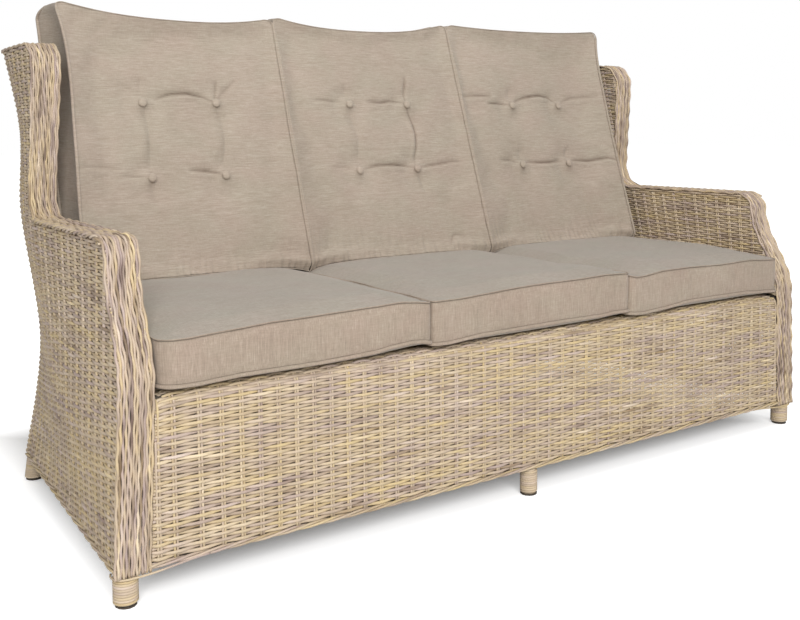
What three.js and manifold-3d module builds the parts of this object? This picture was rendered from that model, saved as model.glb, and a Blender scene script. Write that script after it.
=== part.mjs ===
import * as THREE from 'three';
import { mergeVertices } from 'three/addons/utils/BufferGeometryUtils.js';
import Module from 'manifold-3d';

// A three-seat wing-back garden sofa: woven skins over a bent tube frame, with six loose cushions.
// X runs across, the front faces -Y and the floor is Z = 0. All lengths are in millimetres.
// Left is the side at -X, on the left of someone who stands in front of the sofa.
// Inside the group Y counts from the front face of the posts, and the group is then centred.

const wasm = await Module();
wasm.setup();

// Woven body
const width = 1940;
const armHeight = 645;
const backHeight = 1022;
const footHeight = 58;
const hemHeight = 60;
const bandWidth = 68;
const weave = 7;
const bandEdgeDrop = 2.5;
const sideLeanShare = 0.048;

// Front posts, arms and wings, seen from the side
const kneeHeight = 385;
const postSetback = 80;
const noseRadius = 50;
const filletRadius = 60;
const wingDepth = 117;
const wingForwardLean = 21;
const wingTopRadius = 65;

// Seat and back
const deckTop = 374;
const seatDepth = 630;
const recline = THREE.MathUtils.degToRad(15.7);
const backThickness = 78;
const backTopThickness = 60;
const waistHeight = 390;
const shoulderHeight = 650;
const wingFlareHeight = 193;
const footKick = 105;

// How far the rear corners stand in from the front's leaning sides, from the floor to the top
const rearSetInFoot = 56;
const rearSetInWaist = 74;
const rearSetInShoulder = 43;
const rearSetInWing = 52;
const rearSetInTop = 15;
const lowBendShare = 1;
const highBendShare = 6;

// Frame tubes, feet and glides
const postRadius = 18;
const railRadius = 14;
const tubeWall = 1.5;
const wrapThickness = 4.5;
const centreFootRadius = 20;
const glideRadius = 19.5;
const glideHeight = 3.5;
const glideChamfer = 1;
const stemHeight = 14;

// Clearances: between tube and weave, more beside the bowed outer sides, and where faces meet
const weaveGap = 0.8;
const bowGap = 0.6;
const jointGap = 0.3;
const seamGap = 1.5;

// Seat cushions
const seatNose = 11;
const seatSeamLow = 16;
const seatSeamHigh = 106;
const seatCrown = 15;
const seatPull = 4;
const cornerDip = 5;
const cushionGap = 1;
const cornerRadius = 34;

// Back cushions and their buttons; the rise is how far they stand above the woven back
const backSideGap = 7;
const backCushionRise = 102;
const backCushionThickness = 165;
const backSeamIn = 40;
const backCrown = 15;
const backPull = 13;
const buttonSpacingX = 185;
const buttonSpacingZ = 173;
const buttonMiddle = 312;
const buttonRadius = 11.5;
const buttonHeight = 7;
const tuftDepth = 24;
const tuftReach = 75;
const pocketDepth = 3;
const pocketClearance = 1;
const cutOverrun = 60;

// Mesh counts
const tubeSides = 12;
const buttonSides = 10;
const bendSteps = 4;
const legSteps = 3;
const postSteps = 7;
const armSteps = 3;
const wingSteps = 2;
const sheetColumns = 4;
const backRows = 10;
const cornerSteps = 3;

const { lerp, smoothstep } = THREE.MathUtils;
const vec = (x, y, z) => new THREE.Vector3(x, y, z);

const materials = {
  weave: new THREE.MeshStandardMaterial({ color: 0xb7a486, roughness: 0.6, metalness: 0 }),
  cane: new THREE.MeshStandardMaterial({ color: 0xc9b68f, roughness: 0.55, metalness: 0 }),
  fabric: new THREE.MeshStandardMaterial({ color: 0xa5988a, roughness: 0.9, metalness: 0 }),
  frame: new THREE.MeshStandardMaterial({ color: 0x9a9a98, roughness: 0.45, metalness: 0.6 }),
  plastic: new THREE.MeshStandardMaterial({ color: 0x2a2826, roughness: 0.5, metalness: 0 }),
};

// A smooth curve through values given at rising heights
function throughStations(heights, values) {
  const slope = (i) => {
    const low = Math.max(i - 1, 0);
    const high = Math.min(i + 1, heights.length - 1);
    return (values[high] - values[low]) / (heights[high] - heights[low]);
  };
  return (z) => {
    let i = 0;
    while (i < heights.length - 2 && z > heights[i + 1]) i++;
    const span = heights[i + 1] - heights[i];
    const t = (z - heights[i]) / span;
    const ease = t * t * (3 - 2 * t);
    const rise = t * (1 - t) * (1 - t) * slope(i) - t * t * (1 - t) * slope(i + 1);
    return lerp(values[i], values[i + 1], ease) + span * rise;
  };
}

const levels = [0, waistHeight, shoulderHeight, backHeight];
const backFace = (z) => seatDepth + Math.tan(recline) * (z - deckTop);
const rearWaist = backFace(waistHeight) + backThickness;
const rearShoulder = backFace(shoulderHeight) + backThickness;
const rearTop = backFace(backHeight) + backTopThickness;
const rearFace = throughStations(levels, [rearWaist + footKick, rearWaist, rearShoulder, rearTop]);

const frontHalf = (z) => width / 2 - sideLeanShare * Math.max(z - footHeight, 0);
const innerHalf = (z) => frontHalf(z) - bandWidth;
const rearSetIn = throughStations(
  [0, waistHeight, shoulderHeight, backHeight - wingFlareHeight, backHeight],
  [rearSetInFoot, rearSetInWaist, rearSetInShoulder, rearSetInWing, rearSetInTop],
);
const rearHalf = (z) => frontHalf(z) - rearSetIn(z);
const frontFace = (z) => postSetback * smoothstep(z, kneeHeight, armHeight - noseRadius);
const postInset = weave + weaveGap + postRadius;
const postSideInset = postInset + bowGap;
const railInset = weave + weaveGap + railRadius;

// Outer face of the side, bowed in towards the rear corner, later and harder higher up
function sideHalf(y, z) {
  const bend = lerp(lowBendShare, highBendShare, smoothstep(z, hemHeight, shoulderHeight));
  const along = THREE.MathUtils.clamp(y / rearFace(z), 0, 1);
  return lerp(frontHalf(z), rearHalf(z), along ** bend);
}

// Closed skin from points and triangles, turned so that its faces point out
function skin(points, triangles) {
  let volume = 0;
  for (const [a, b, c] of triangles) {
    volume += points[a].dot(points[b].clone().cross(points[c]));
  }
  const turned = volume < 0 ? triangles.map(([a, b, c]) => [a, c, b]) : triangles;
  const geometry = new THREE.BufferGeometry();
  const numbers = points.flatMap((p) => [p.x, p.y, p.z]);
  geometry.setAttribute('position', new THREE.Float32BufferAttribute(numbers, 3));
  geometry.setIndex(turned.flat());
  geometry.computeVertexNormals();
  return geometry;
}

// Joins rings of equal count; an open run is capped by laddering each end ring's two halves
function loft(rings, cyclic = false) {
  const count = rings[0].length;
  const triangles = [];
  const quad = (a, b, c, d) => triangles.push([a, b, c], [a, c, d]);
  const spans = cyclic ? rings.length : rings.length - 1;
  for (let r = 0; r < spans; r++) {
    const low = r * count;
    const high = ((r + 1) % rings.length) * count;
    for (let i = 0; i < count; i++) {
      const j = (i + 1) % count;
      quad(low + i, low + j, high + j, high + i);
    }
  }
  if (!cyclic) {
    const last = (rings.length - 1) * count;
    for (let i = 0; i < count / 2 - 1; i++) {
      const k = count - 1 - i;
      quad(k, k - 1, i + 1, i);
      quad(last + i, last + i + 1, last + k - 1, last + k);
    }
  }
  return skin(rings.flat(), triangles);
}

function circle(centre, radius, across, along) {
  return Array.from({ length: tubeSides }, (_, i) => {
    const turn = (2 * Math.PI * i) / tubeSides;
    return centre
      .clone()
      .addScaledVector(across, radius * Math.cos(turn))
      .addScaledVector(along, radius * Math.sin(turn));
  });
}

// Hollow tube whose sections stand square to a path that bends about X; its first section
// stands square to the line from the lead point where one is given
function bentTube(path, radius, lead) {
  const axis = vec(1, 0, 0);
  const ring = (i, size) => {
    const before = i === 0 && lead ? lead : path[Math.max(i - 1, 0)];
    const after = i === 0 && lead ? path[0] : path[Math.min(i + 1, path.length - 1)];
    const tangent = after.clone().sub(before).normalize();
    const across = tangent.clone().cross(axis).normalize();
    return circle(path[i], size, across, axis);
  };
  const outer = path.map((_, i) => ring(i, radius));
  const bore = path.map((_, i) => ring(i, radius - tubeWall)).reverse();
  return loft([...outer, ...bore], true);
}

// Rings cut level at given heights round a leg's centre line, with a radius for each
const levelRings = (centreAt, steps) =>
  steps.map(([z, radius]) => circle(centreAt(z), radius, vec(1, 0, 0), vec(0, 1, 0)));

const group = new THREE.Group();

function add(name, geometry, material) {
  const mesh = new THREE.Mesh(geometry, material);
  mesh.name = name;
  group.add(mesh);
  return mesh;
}

// The side view's outline from the foot, over the arm and wing, to the top of the back.
// Each station holds y, z and the unit normal (ny, nz) that points into the sofa.
function sideOutline() {
  const points = [];
  const push = (y, z) => points.push({ y, z });
  const arc = (y, z, radius, from, to) => {
    for (let i = 1; i <= bendSteps; i++) {
      const turn = lerp(from, to, i / bendSteps);
      push(y + radius * Math.cos(turn), z + radius * Math.sin(turn));
    }
  };
  const noseLow = armHeight - noseRadius;
  for (let i = 0; i < legSteps; i++) push(0, lerp(footHeight, kneeHeight, i / legSteps));
  for (let i = 0; i <= postSteps; i++) {
    const z = lerp(kneeHeight, noseLow, i / postSteps);
    push(frontFace(z), z);
  }
  arc(postSetback + noseRadius, noseLow, noseRadius, Math.PI, Math.PI / 2);
  const wingFront = backFace(armHeight) - wingDepth;
  const armFrom = postSetback + noseRadius;
  const armTo = wingFront - filletRadius;
  for (let i = 1; i <= armSteps; i++) push(lerp(armFrom, armTo, i / armSteps), armHeight);
  const armEnd = points.length - 1;
  arc(armTo, armHeight + filletRadius, filletRadius, -Math.PI / 2, 0);
  const wingTopY = wingFront - wingForwardLean;
  const wingTopZ = backHeight - wingTopRadius;
  for (let i = 1; i <= wingSteps; i++) {
    const share = i / wingSteps;
    push(lerp(wingFront, wingTopY, share), lerp(armHeight + filletRadius, wingTopZ, share));
  }
  arc(wingTopY + wingTopRadius, wingTopZ, wingTopRadius, Math.PI, Math.PI / 2);
  const wingEnd = points.length - 1;
  push(rearTop, backHeight);
  points.forEach((p, i) => {
    const a = points[Math.max(i - 1, 0)];
    const b = points[Math.min(i + 1, points.length - 1)];
    const length = Math.hypot(b.y - a.y, b.z - a.z);
    p.ny = (b.z - a.z) / length;
    p.nz = (a.y - b.y) / length;
  });
  return { points, armEnd, wingEnd };
}

const outline = sideOutline();
const inward = (p, depth) => ({ y: p.y + p.ny * depth, z: p.z + p.nz * depth });

// Strip of long strands over the post, the arm and the wing
function sideBand(side) {
  const rings = outline.points.map((p) => {
    const from = innerHalf(p.z);
    const to = sideHalf(p.y, p.z);
    const quarter = (to - from) / 4;
    const corner = (x, depth) => {
      const q = inward(p, depth);
      return vec(side * x, q.y, q.z);
    };
    return [
      corner(from, bandEdgeDrop),
      corner(from + quarter, 0),
      corner(to - quarter, 0),
      corner(to, bandEdgeDrop),
      corner(to, weave),
      corner(to - quarter, weave),
      corner(from + quarter, weave),
      corner(from, weave),
    ];
  });
  return loft(rings);
}

// Ruled woven sheet between two edges of equal count; faceAt gives the X of its two faces
function ruledSheet(frontEdge, rearEdge, faceAt, side) {
  const rings = frontEdge.map((f, row) => {
    const r = rearEdge[row];
    const outer = [];
    const inner = [];
    for (let i = 0; i <= sheetColumns; i++) {
      const y = lerp(f.y, r.y, i / sheetColumns);
      const z = lerp(f.z, r.z, i / sheetColumns);
      const [near, far] = faceAt(y, z);
      outer.push(vec(side * near, y, z));
      inner.unshift(vec(side * far, y, z));
    }
    return [...outer, ...inner];
  });
  return loft(rings);
}

// Heights of the rear ends of rows that start along a front edge; the row at the arm's end is level
function rearHeights(edge, low, high) {
  const armEnd = edge.length - 1 - (outline.wingEnd - outline.armEnd);
  const run = [0];
  for (let i = 1; i < edge.length; i++) {
    run.push(run[i - 1] + Math.hypot(edge[i].y - edge[i - 1].y, edge[i].z - edge[i - 1].z));
  }
  const total = run[run.length - 1];
  return run.map((value, i) => {
    if (i <= armEnd) return lerp(low, edge[armEnd].z, value / run[armEnd]);
    return lerp(edge[armEnd].z, high, (value - run[armEnd]) / (total - run[armEnd]));
  });
}

const sheetTop = backHeight - weave - jointGap;
const tubeCornerRadius = postInset;

// The band's inner edge line, started at a given height
function edgeBehindBand(lowest) {
  const stations = outline.points.slice(1, outline.wingEnd + 1);
  const edge = stations.map((p) => inward(p, weave + jointGap)).filter((p) => p.z > lowest);
  return [{ y: weave + jointGap, z: lowest }, ...edge];
}

function outerSide(side) {
  const front = edgeBehindBand(hemHeight);
  const heights = rearHeights(front, hemHeight, sheetTop);
  const rear = heights.map((z) => ({ y: rearFace(z) - tubeCornerRadius - seamGap, z }));
  const faceAt = (y, z) => [sideHalf(y, z), sideHalf(y, z) - weave];
  return ruledSheet(front, rear, faceAt, side);
}

function innerSide(side) {
  const lowest = deckTop - weave;
  const front = edgeBehindBand(lowest);
  const rear = rearHeights(front, lowest, sheetTop).map((z) => ({ y: backFace(z) + weave, z }));
  const faceAt = (y, z) => [innerHalf(z), innerHalf(z) + weave];
  return ruledSheet(front, rear, faceAt, side);
}

// Back skin, wrapped round both rear posts
function outerBack() {
  const rings = [];
  for (let row = 0; row <= backRows; row++) {
    const z = lerp(hemHeight, sheetTop, row / backRows);
    const centre = { x: rearHalf(z) - tubeCornerRadius, y: rearFace(z) - tubeCornerRadius };
    const path = (radius) => {
      const right = [];
      for (let i = 0; i <= cornerSteps; i++) {
        const turn = (Math.PI / 2) * (i / cornerSteps);
        right.push(vec(centre.x + radius * Math.cos(turn), centre.y + radius * Math.sin(turn), z));
      }
      const left = right.map((p) => vec(-p.x, p.y, z)).reverse();
      return [...right, ...left];
    };
    rings.push([...path(tubeCornerRadius), ...path(tubeCornerRadius - weave).reverse()]);
  }
  return loft(rings);
}

// Plane sheets that lie between the inner sides
function innerBack() {
  const ring = (z) => {
    const x = innerHalf(z) - jointGap;
    const y = backFace(z);
    return [vec(-x, y, z), vec(x, y, z), vec(x, y + weave, z), vec(-x, y + weave, z)];
  };
  return loft([ring(deckTop - weave), ring(sheetTop)]);
}

const ledgeEnd = 2 * railInset;

function seatDeck() {
  const from = ledgeEnd + jointGap;
  const to = backFace(deckTop - weave) - jointGap;
  const ring = (y) => {
    const x = innerHalf(deckTop) - jointGap;
    const low = deckTop - weave;
    return [vec(-x, y, deckTop), vec(x, y, deckTop), vec(x, y, low), vec(-x, y, low)];
  };
  return loft([ring(from), ring(to)]);
}

// Front skirt, rolled back over the front seat rail to meet the deck
function apron() {
  const path = (depth) => {
    const radius = railInset - depth;
    const points = [{ y: depth, z: hemHeight }];
    for (let i = 0; i <= cornerSteps; i++) {
      const turn = Math.PI - (Math.PI / 2) * (i / cornerSteps);
      const y = railInset + radius * Math.cos(turn);
      points.push({ y, z: deckTop - railInset + radius * Math.sin(turn) });
    }
    points.push({ y: ledgeEnd, z: deckTop - depth });
    return points;
  };
  const outlinePoints = [...path(0), ...path(weave).reverse()];
  const ring = (side) =>
    outlinePoints.map((p) => vec(side * (innerHalf(p.z) - jointGap), p.y, p.z));
  return loft([ring(-1), ring(1)]);
}

function backTopBand() {
  const from = backFace(backHeight);
  const quarter = (rearTop - from) / 4;
  const low = backHeight - weave;
  const edge = backHeight - bandEdgeDrop;
  const ring = (side) => {
    const x = side * (innerHalf(backHeight) - jointGap);
    return [
      vec(x, from, edge),
      vec(x, from + quarter, backHeight),
      vec(x, rearTop - quarter, backHeight),
      vec(x, rearTop, edge),
      vec(x, rearTop, low),
      vec(x, rearTop - quarter, low),
      vec(x, from + quarter, low),
      vec(x, from, low),
    ];
  };
  return loft([ring(-1), ring(1)]);
}

// Centre lines of the tubes
const frontPostAt = (side) => (z) =>
  vec(side * (sideHalf(postInset, Math.max(z, footHeight)) - postSideInset), postInset, z);
const rearPostAt = (side) => (z) =>
  vec(side * (rearHalf(z) - postInset), rearFace(z) - postInset, z);
const legBottom = glideHeight + jointGap;

function tubePath(stations, side) {
  return stations.map((p) => {
    const q = inward(p, postInset);
    return vec(side * (sideHalf(q.y, q.z) - postSideInset), q.y, q.z);
  });
}

// Room that a tube of a given radius needs from a leaning post's centre, measured along a direction
function reachOf(at, z, radius, direction) {
  const high = at(z + radius).sub(at(z)).dot(direction);
  const low = at(z - radius).sub(at(z)).dot(direction);
  return postRadius + Math.max(Math.abs(high), Math.abs(low)) + weaveGap;
}

function armTube(side) {
  const stations = outline.points.slice(0, outline.armEnd + 1);
  return bentTube([frontPostAt(side)(legBottom), ...tubePath(stations, side)], postRadius);
}

function wingTube(side) {
  const path = tubePath(outline.points.slice(outline.armEnd - 1, outline.wingEnd + 1), side);
  const lead = path.shift();
  path[0].addScaledVector(path[0].clone().sub(lead).normalize(), jointGap);
  const topZ = backHeight - postInset;
  const at = rearPostAt(side);
  const post = at(topZ);
  const clearHalf = innerHalf(topZ) + weave + weaveGap + postRadius;
  const x = side * Math.max(rearHalf(topZ) - postInset, clearHalf);
  path.push(vec(x, post.y - reachOf(at, topZ, postRadius, vec(0, 1, 0)), topZ));
  return bentTube(path, postRadius, lead);
}

function rearPost(side) {
  const at = rearPostAt(side);
  const heights = [legBottom];
  for (let row = 0; row <= backRows; row++) heights.push(lerp(hemHeight, sheetTop, row / backRows));
  const outer = heights.map((z) => [z, postRadius]);
  const bore = heights.map((z) => [z, postRadius - tubeWall]).reverse();
  return loft(levelRings(at, [...outer, ...bore]), true);
}

// Straight hollow rail between two centres, stopped short of what it meets at each end
function rail(name, from, to, roomFrom, roomTo) {
  const ahead = to.clone().sub(from).normalize();
  const start = from.clone().addScaledVector(ahead, roomFrom);
  const end = to.clone().addScaledVector(ahead, -roomTo);
  const half = start.distanceTo(end) / 2;
  const bore = railRadius - tubeWall;
  const profile = [
    new THREE.Vector2(bore, -half),
    new THREE.Vector2(railRadius, -half),
    new THREE.Vector2(railRadius, half),
    new THREE.Vector2(bore, half),
    new THREE.Vector2(bore, -half),
  ];
  const mesh = add(name, new THREE.LatheGeometry(profile, tubeSides), materials.frame);
  mesh.position.copy(start).lerp(end, 0.5);
  mesh.quaternion.setFromUnitVectors(vec(0, 1, 0), ahead);
}

function glide(centreAt, stemRadius) {
  const steps = [
    [0, glideRadius - glideChamfer],
    [glideChamfer, glideRadius],
    [glideHeight, glideRadius],
  ];
  if (stemRadius > 0) {
    steps.push([glideHeight, stemRadius], [glideHeight + stemHeight, stemRadius]);
  }
  return loft(levelRings(centreAt, steps));
}

function footWrap(centreAt, top) {
  const bore = postRadius + jointGap;
  const outside = bore + wrapThickness;
  const steps = [[legBottom, outside], [top, outside], [top, bore], [legBottom, bore]];
  return loft(levelRings(centreAt, steps), true);
}

// Grid lines from -1 to 1, closer near the edges; the second set has lines on the buttons
const mirrored = (shares) => [...shares.map((share) => -share), 0, ...shares.toReversed()];
const seatGridShares = mirrored([1, 0.96, 0.85, 0.6, 0.3]);
const backGridShares = (buttonShare) =>
  mirrored([1, 0.965, 0.88, 0.74, (0.74 + buttonShare) / 2, buttonShare, buttonShare / 2]);

// Pulls the square corners of a cushion's plan onto arcs
function roundCorner(a, b, halfA, halfB) {
  const coreA = halfA - cornerRadius;
  const coreB = halfB - cornerRadius;
  const da = Math.max(Math.abs(a) - coreA, 0);
  const db = Math.max(Math.abs(b) - coreB, 0);
  if (da === 0 || db === 0) return [a, b];
  const shrink = Math.max(da, db) / Math.hypot(da, db);
  return [Math.sign(a) * (coreA + da * shrink), Math.sign(b) * (coreB + db * shrink)];
}

// Cushion skin: plan shape in a and b, and two faces in c, set in place by a function
function cushion(spec) {
  const rings = spec.rowShares.map((v) => {
    const near = [];
    const far = [];
    for (const u of spec.columnShares) {
      const halfA = spec.halfA - spec.pull * (1 - v ** 4);
      const halfB = spec.halfB - spec.pull * (1 - u ** 4);
      const [a, b] = roundCorner(u * halfA, v * halfB, spec.halfA, spec.halfB);
      near.push(spec.place(a, b, spec.nearFace(a, b, u, v)));
      far.unshift(spec.place(a, b, spec.farFace(a, b, u, v)));
    }
    return [...near, ...far];
  });
  return loft(rings);
}

const swell = (u, v) => (Math.max(1 - u ** 4, 0) * Math.max(1 - v ** 4, 0)) ** 0.6;
const press = (u, v) => Math.min(1, 1.3 * (Math.max(1 - u * u, 0) * Math.max(1 - v * v, 0)) ** 0.3);

const seatRest = deckTop + jointGap;
const seatTop = deckTop + seatSeamHigh + seatCrown;
const seatFront = -seatNose;
const seatBack = backFace(seatRest) - jointGap;
const seatWidth = (2 * (innerHalf(seatTop) - cushionGap) - 2 * cushionGap) / 3;

function seatCushion(middle) {
  const halfB = (seatBack - seatFront) / 2;
  return cushion({
    columnShares: seatGridShares,
    rowShares: seatGridShares,
    halfA: seatWidth / 2,
    halfB,
    pull: seatPull,
    nearFace: (a, b, u, v) =>
      deckTop + seatSeamHigh + seatCrown * swell(u, v) - cornerDip * (u * v) ** 4,
    farFace: (a, b, u, v) => lerp(deckTop + seatSeamLow, seatRest, press(u, v)),
    place: (a, b, c) => vec(middle + a, seatFront + halfB + b, c),
  });
}

const backCushionLow = seatTop + cushionGap / 2;
const backCushionHeight = backHeight + backCushionRise - backCushionLow;
const backCushionWidth = (2 * (innerHalf(backHeight) - backSideGap) - 2 * cushionGap) / 3;

// Buttons of one back cushion, as across and up from the cushion's middle
const buttonRise = buttonMiddle - backCushionHeight / 2;
const buttonSpots = [
  [-buttonSpacingX / 2, buttonRise - buttonSpacingZ / 2],
  [buttonSpacingX / 2, buttonRise - buttonSpacingZ / 2],
  [-buttonSpacingX / 2, buttonRise + buttonSpacingZ / 2],
  [buttonSpacingX / 2, buttonRise + buttonSpacingZ / 2],
];


function backCushionFace(a, b, u, v) {
  const tuft = buttonSpots.reduce((sum, [x, z]) => {
    const distance = Math.hypot(a - x, b - z) / tuftReach;
    return sum + tuftDepth * Math.exp(-3 * distance * distance);
  }, 0);
  return backCushionThickness + backCrown * swell(u, v) - tuft;
}

// Sets a point that is a across, b up from the middle and c in front of the woven back
function onBack(middle, a, b, c) {
  const z = backCushionLow + backCushionHeight / 2 + b;
  return vec(middle + a, backFace(z) - jointGap - c, z);
}

function backCushion(middle, pockets) {
  const halfA = backCushionWidth / 2;
  const halfB = backCushionHeight / 2;
  const geometry = cushion({
    columnShares: backGridShares(buttonSpacingX / backCushionWidth),
    rowShares: backGridShares(buttonSpacingZ / backCushionHeight),
    halfA,
    halfB,
    pull: backPull,
    nearFace: backCushionFace,
    farFace: (a, b, u, v) => backSeamIn * (1 - press(u, v)),
    place: (a, b, c) => onBack(middle, a, b, c),
  });
  let solid = toSolid(geometry);
  for (const pocket of pockets) solid = solid.subtract(toSolid(pocket));
  return fromSolid(solid);
}

function toSolid(geometry) {
  const bare = geometry.clone();
  bare.deleteAttribute('normal');
  bare.deleteAttribute('uv');
  const merged = mergeVertices(bare);
  return new wasm.Manifold(
    new wasm.Mesh({
      numProp: 3,
      vertProperties: new Float32Array(merged.attributes.position.array),
      triVerts: new Uint32Array(merged.index.array),
    }),
  );
}

function fromSolid(solid) {
  const mesh = solid.getMesh();
  const geometry = new THREE.BufferGeometry();
  geometry.setAttribute('position', new THREE.BufferAttribute(mesh.vertProperties, 3));
  geometry.setIndex(new THREE.BufferAttribute(mesh.triVerts, 1));
  geometry.computeVertexNormals();
  return geometry;
}

// Domed button turned about its own axis
function buttonGeometry() {
  const profile = [
    new THREE.Vector2(0, 0),
    new THREE.Vector2(buttonRadius, 0),
    new THREE.Vector2(buttonRadius, buttonHeight / 3),
    new THREE.Vector2(buttonRadius * 0.7, buttonHeight * 0.85),
    new THREE.Vector2(0, buttonHeight),
  ];
  return new THREE.LatheGeometry(profile, buttonSides);
}

// Woven skins
const sides = [['left', -1], ['right', 1]];
for (const [word, side] of sides) {
  add(`${word}_side_band`, sideBand(side), materials.weave);
  add(`${word}_outer_side_weave`, outerSide(side), materials.weave);
  add(`${word}_inner_side_weave`, innerSide(side), materials.weave);
}
add('front_apron_weave', apron(), materials.weave);
add('outer_back_weave', outerBack(), materials.weave);
add('inner_back_weave', innerBack(), materials.weave);
add('back_top_band', backTopBand(), materials.weave);
add('seat_deck_weave', seatDeck(), materials.weave);

// Frame
const seatRailZ = deckTop - railInset;
const hemRailZ = hemHeight + railRadius;
const railLevels = [['seat', seatRailZ], ['hem', hemRailZ]];
for (const [word, side] of sides) {
  add(`${word}_arm_tube`, armTube(side), materials.frame);
  add(`${word}_wing_tube`, wingTube(side), materials.frame);
  add(`${word}_rear_post`, rearPost(side), materials.frame);
  for (const [level, z] of railLevels) {
    const front = frontPostAt(side);
    const rear = rearPostAt(side);
    const ahead = rear(z).sub(front(z)).normalize();
    const roomFront = reachOf(front, z, railRadius, ahead);
    const roomRear = reachOf(rear, z, railRadius, ahead);
    rail(`${word}_${level}_rail`, front(z), rear(z), roomFront, roomRear);
  }
}

// Rail across the sofa between a pair of posts, at a given Y
function crossingRail(name, at, y, z) {
  const room = reachOf(at, z, railRadius, vec(1, 0, 0));
  const right = at(z).setY(y);
  rail(name, right.clone().setX(-right.x), right, room, room);
}

const rearPostRight = rearPostAt(1);
for (const [level, z] of railLevels) {
  crossingRail(`front_${level}_rail`, frontPostAt(1), railInset, z);
  crossingRail(`rear_${level}_rail`, rearPostRight, rearPostRight(z).y, z);
}
const topRailZ = backHeight - railInset;
crossingRail('back_top_rail', rearPostRight, rearPostRight(topRailZ).y, topRailZ);
for (const [word, side] of sides) {
  const from = vec((side * seatWidth) / 2, railInset, seatRailZ);
  const to = from.clone().setY(rearPostRight(seatRailZ).y);
  rail(`${word}_cross_rail`, from, to, railRadius + jointGap, railRadius + jointGap);
}

// Feet
const stemRadius = postRadius - tubeWall - jointGap;
for (const [word, side] of sides) {
  const front = frontPostAt(side);
  add(`front_${word}_foot_wrap`, footWrap(front, footHeight - jointGap), materials.cane);
  add(`front_${word}_glide`, glide(front, stemRadius), materials.plastic);
  const rear = rearPostAt(side);
  add(`rear_${word}_foot_wrap`, footWrap(rear, hemHeight - jointGap), materials.cane);
  add(`rear_${word}_glide`, glide(rear, stemRadius), materials.plastic);
}
const centreFeet = [['front', railInset], ['rear', rearPostRight(hemRailZ).y]];
for (const [word, y] of centreFeet) {
  const at = (z) => vec(0, y, z);
  const steps = [[legBottom, centreFootRadius], [hemHeight - jointGap, centreFootRadius]];
  add(`${word}_centre_foot`, loft(levelRings(at, steps)), materials.cane);
  add(`${word}_centre_glide`, glide(at, 0), materials.plastic);
}

// Cushions
const places = [['left', -1], ['middle', 0], ['right', 1]];
for (const [word, place] of places) {
  const seatMiddle = place * (seatWidth + cushionGap);
  add(`${word}_seat_cushion`, seatCushion(seatMiddle), materials.fabric);
  const middle = place * (backCushionWidth + cushionGap);
  const pockets = [];
  buttonSpots.forEach(([x, z], i) => {
    const u = (2 * x) / backCushionWidth;
    const v = (2 * z) / backCushionHeight;
    const floor = onBack(middle, x, z, backCushionFace(x, z, u, v) - pocketDepth);
    const out = vec(0, -Math.cos(recline), Math.sin(recline));
    const turn = new THREE.Quaternion().setFromUnitVectors(vec(0, 1, 0), out);
    const pocketRadius = buttonRadius + pocketClearance;
    const pocket = new THREE.CylinderGeometry(pocketRadius, pocketRadius, cutOverrun, tubeSides);
    pocket.translate(0, cutOverrun / 2, 0).applyQuaternion(turn);
    pocket.translate(floor.x, floor.y, floor.z);
    pockets.push(pocket);
    const button = add(`${word}_back_button_${i + 1}`, buttonGeometry(), materials.fabric);
    button.quaternion.copy(turn);
    button.position.copy(floor).addScaledVector(out, jointGap);
  });
  add(`${word}_back_cushion`, backCushion(middle, pockets), materials.fabric);
}

const bounds = new THREE.Box3().setFromObject(group);
group.position.y = -(bounds.min.y + bounds.max.y) / 2;

export default group;
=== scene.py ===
"""Looks of a three-seat wing-back garden sofa: woven skins, wound feet and loose cushions.

Lengths are in millimetres until a mesh is made. X runs across, the front faces -Y and the floor is
Z = 0. Y counts from the front face of the posts until a mesh is made.
"""

import math

import bpy
import numpy as np
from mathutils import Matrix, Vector


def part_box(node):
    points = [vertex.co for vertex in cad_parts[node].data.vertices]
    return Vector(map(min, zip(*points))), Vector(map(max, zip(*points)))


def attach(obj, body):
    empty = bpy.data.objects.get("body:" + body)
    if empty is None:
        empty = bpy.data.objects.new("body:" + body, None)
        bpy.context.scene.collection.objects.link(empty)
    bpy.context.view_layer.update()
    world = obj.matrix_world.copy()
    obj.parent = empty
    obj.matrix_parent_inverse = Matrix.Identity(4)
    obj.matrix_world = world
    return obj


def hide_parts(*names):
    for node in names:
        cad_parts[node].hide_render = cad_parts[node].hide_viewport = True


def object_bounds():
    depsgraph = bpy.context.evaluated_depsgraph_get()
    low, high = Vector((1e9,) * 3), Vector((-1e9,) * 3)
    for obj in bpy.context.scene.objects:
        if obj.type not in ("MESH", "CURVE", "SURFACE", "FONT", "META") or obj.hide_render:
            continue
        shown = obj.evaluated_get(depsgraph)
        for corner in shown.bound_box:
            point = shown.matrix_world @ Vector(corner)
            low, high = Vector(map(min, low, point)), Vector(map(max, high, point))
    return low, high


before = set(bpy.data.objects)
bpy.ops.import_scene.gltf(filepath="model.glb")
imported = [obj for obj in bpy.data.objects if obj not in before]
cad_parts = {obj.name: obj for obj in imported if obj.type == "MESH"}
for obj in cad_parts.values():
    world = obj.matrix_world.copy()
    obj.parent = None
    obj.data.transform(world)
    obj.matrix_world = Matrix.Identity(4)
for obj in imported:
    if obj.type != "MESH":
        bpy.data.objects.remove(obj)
cad_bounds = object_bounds()
FRONT_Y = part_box("left_side_band")[0].y
MM = 0.001


def placed(name, data):
    """A new object in the scene."""
    obj = bpy.data.objects.new(name, data)
    bpy.context.scene.collection.objects.link(obj)
    return obj


# Camera

CAMERA_PLACE = (-1.539, -2.1095, 0.836)
CAMERA_TILT, CAMERA_ROLL, CAMERA_YAW = 85.30, 0.37, -34.96
FOCAL_PIXELS, FRAME_PIXELS = 1025.18, 800
SENSOR_WIDTH = 36
LENS_SHIFT = -0.125

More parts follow.
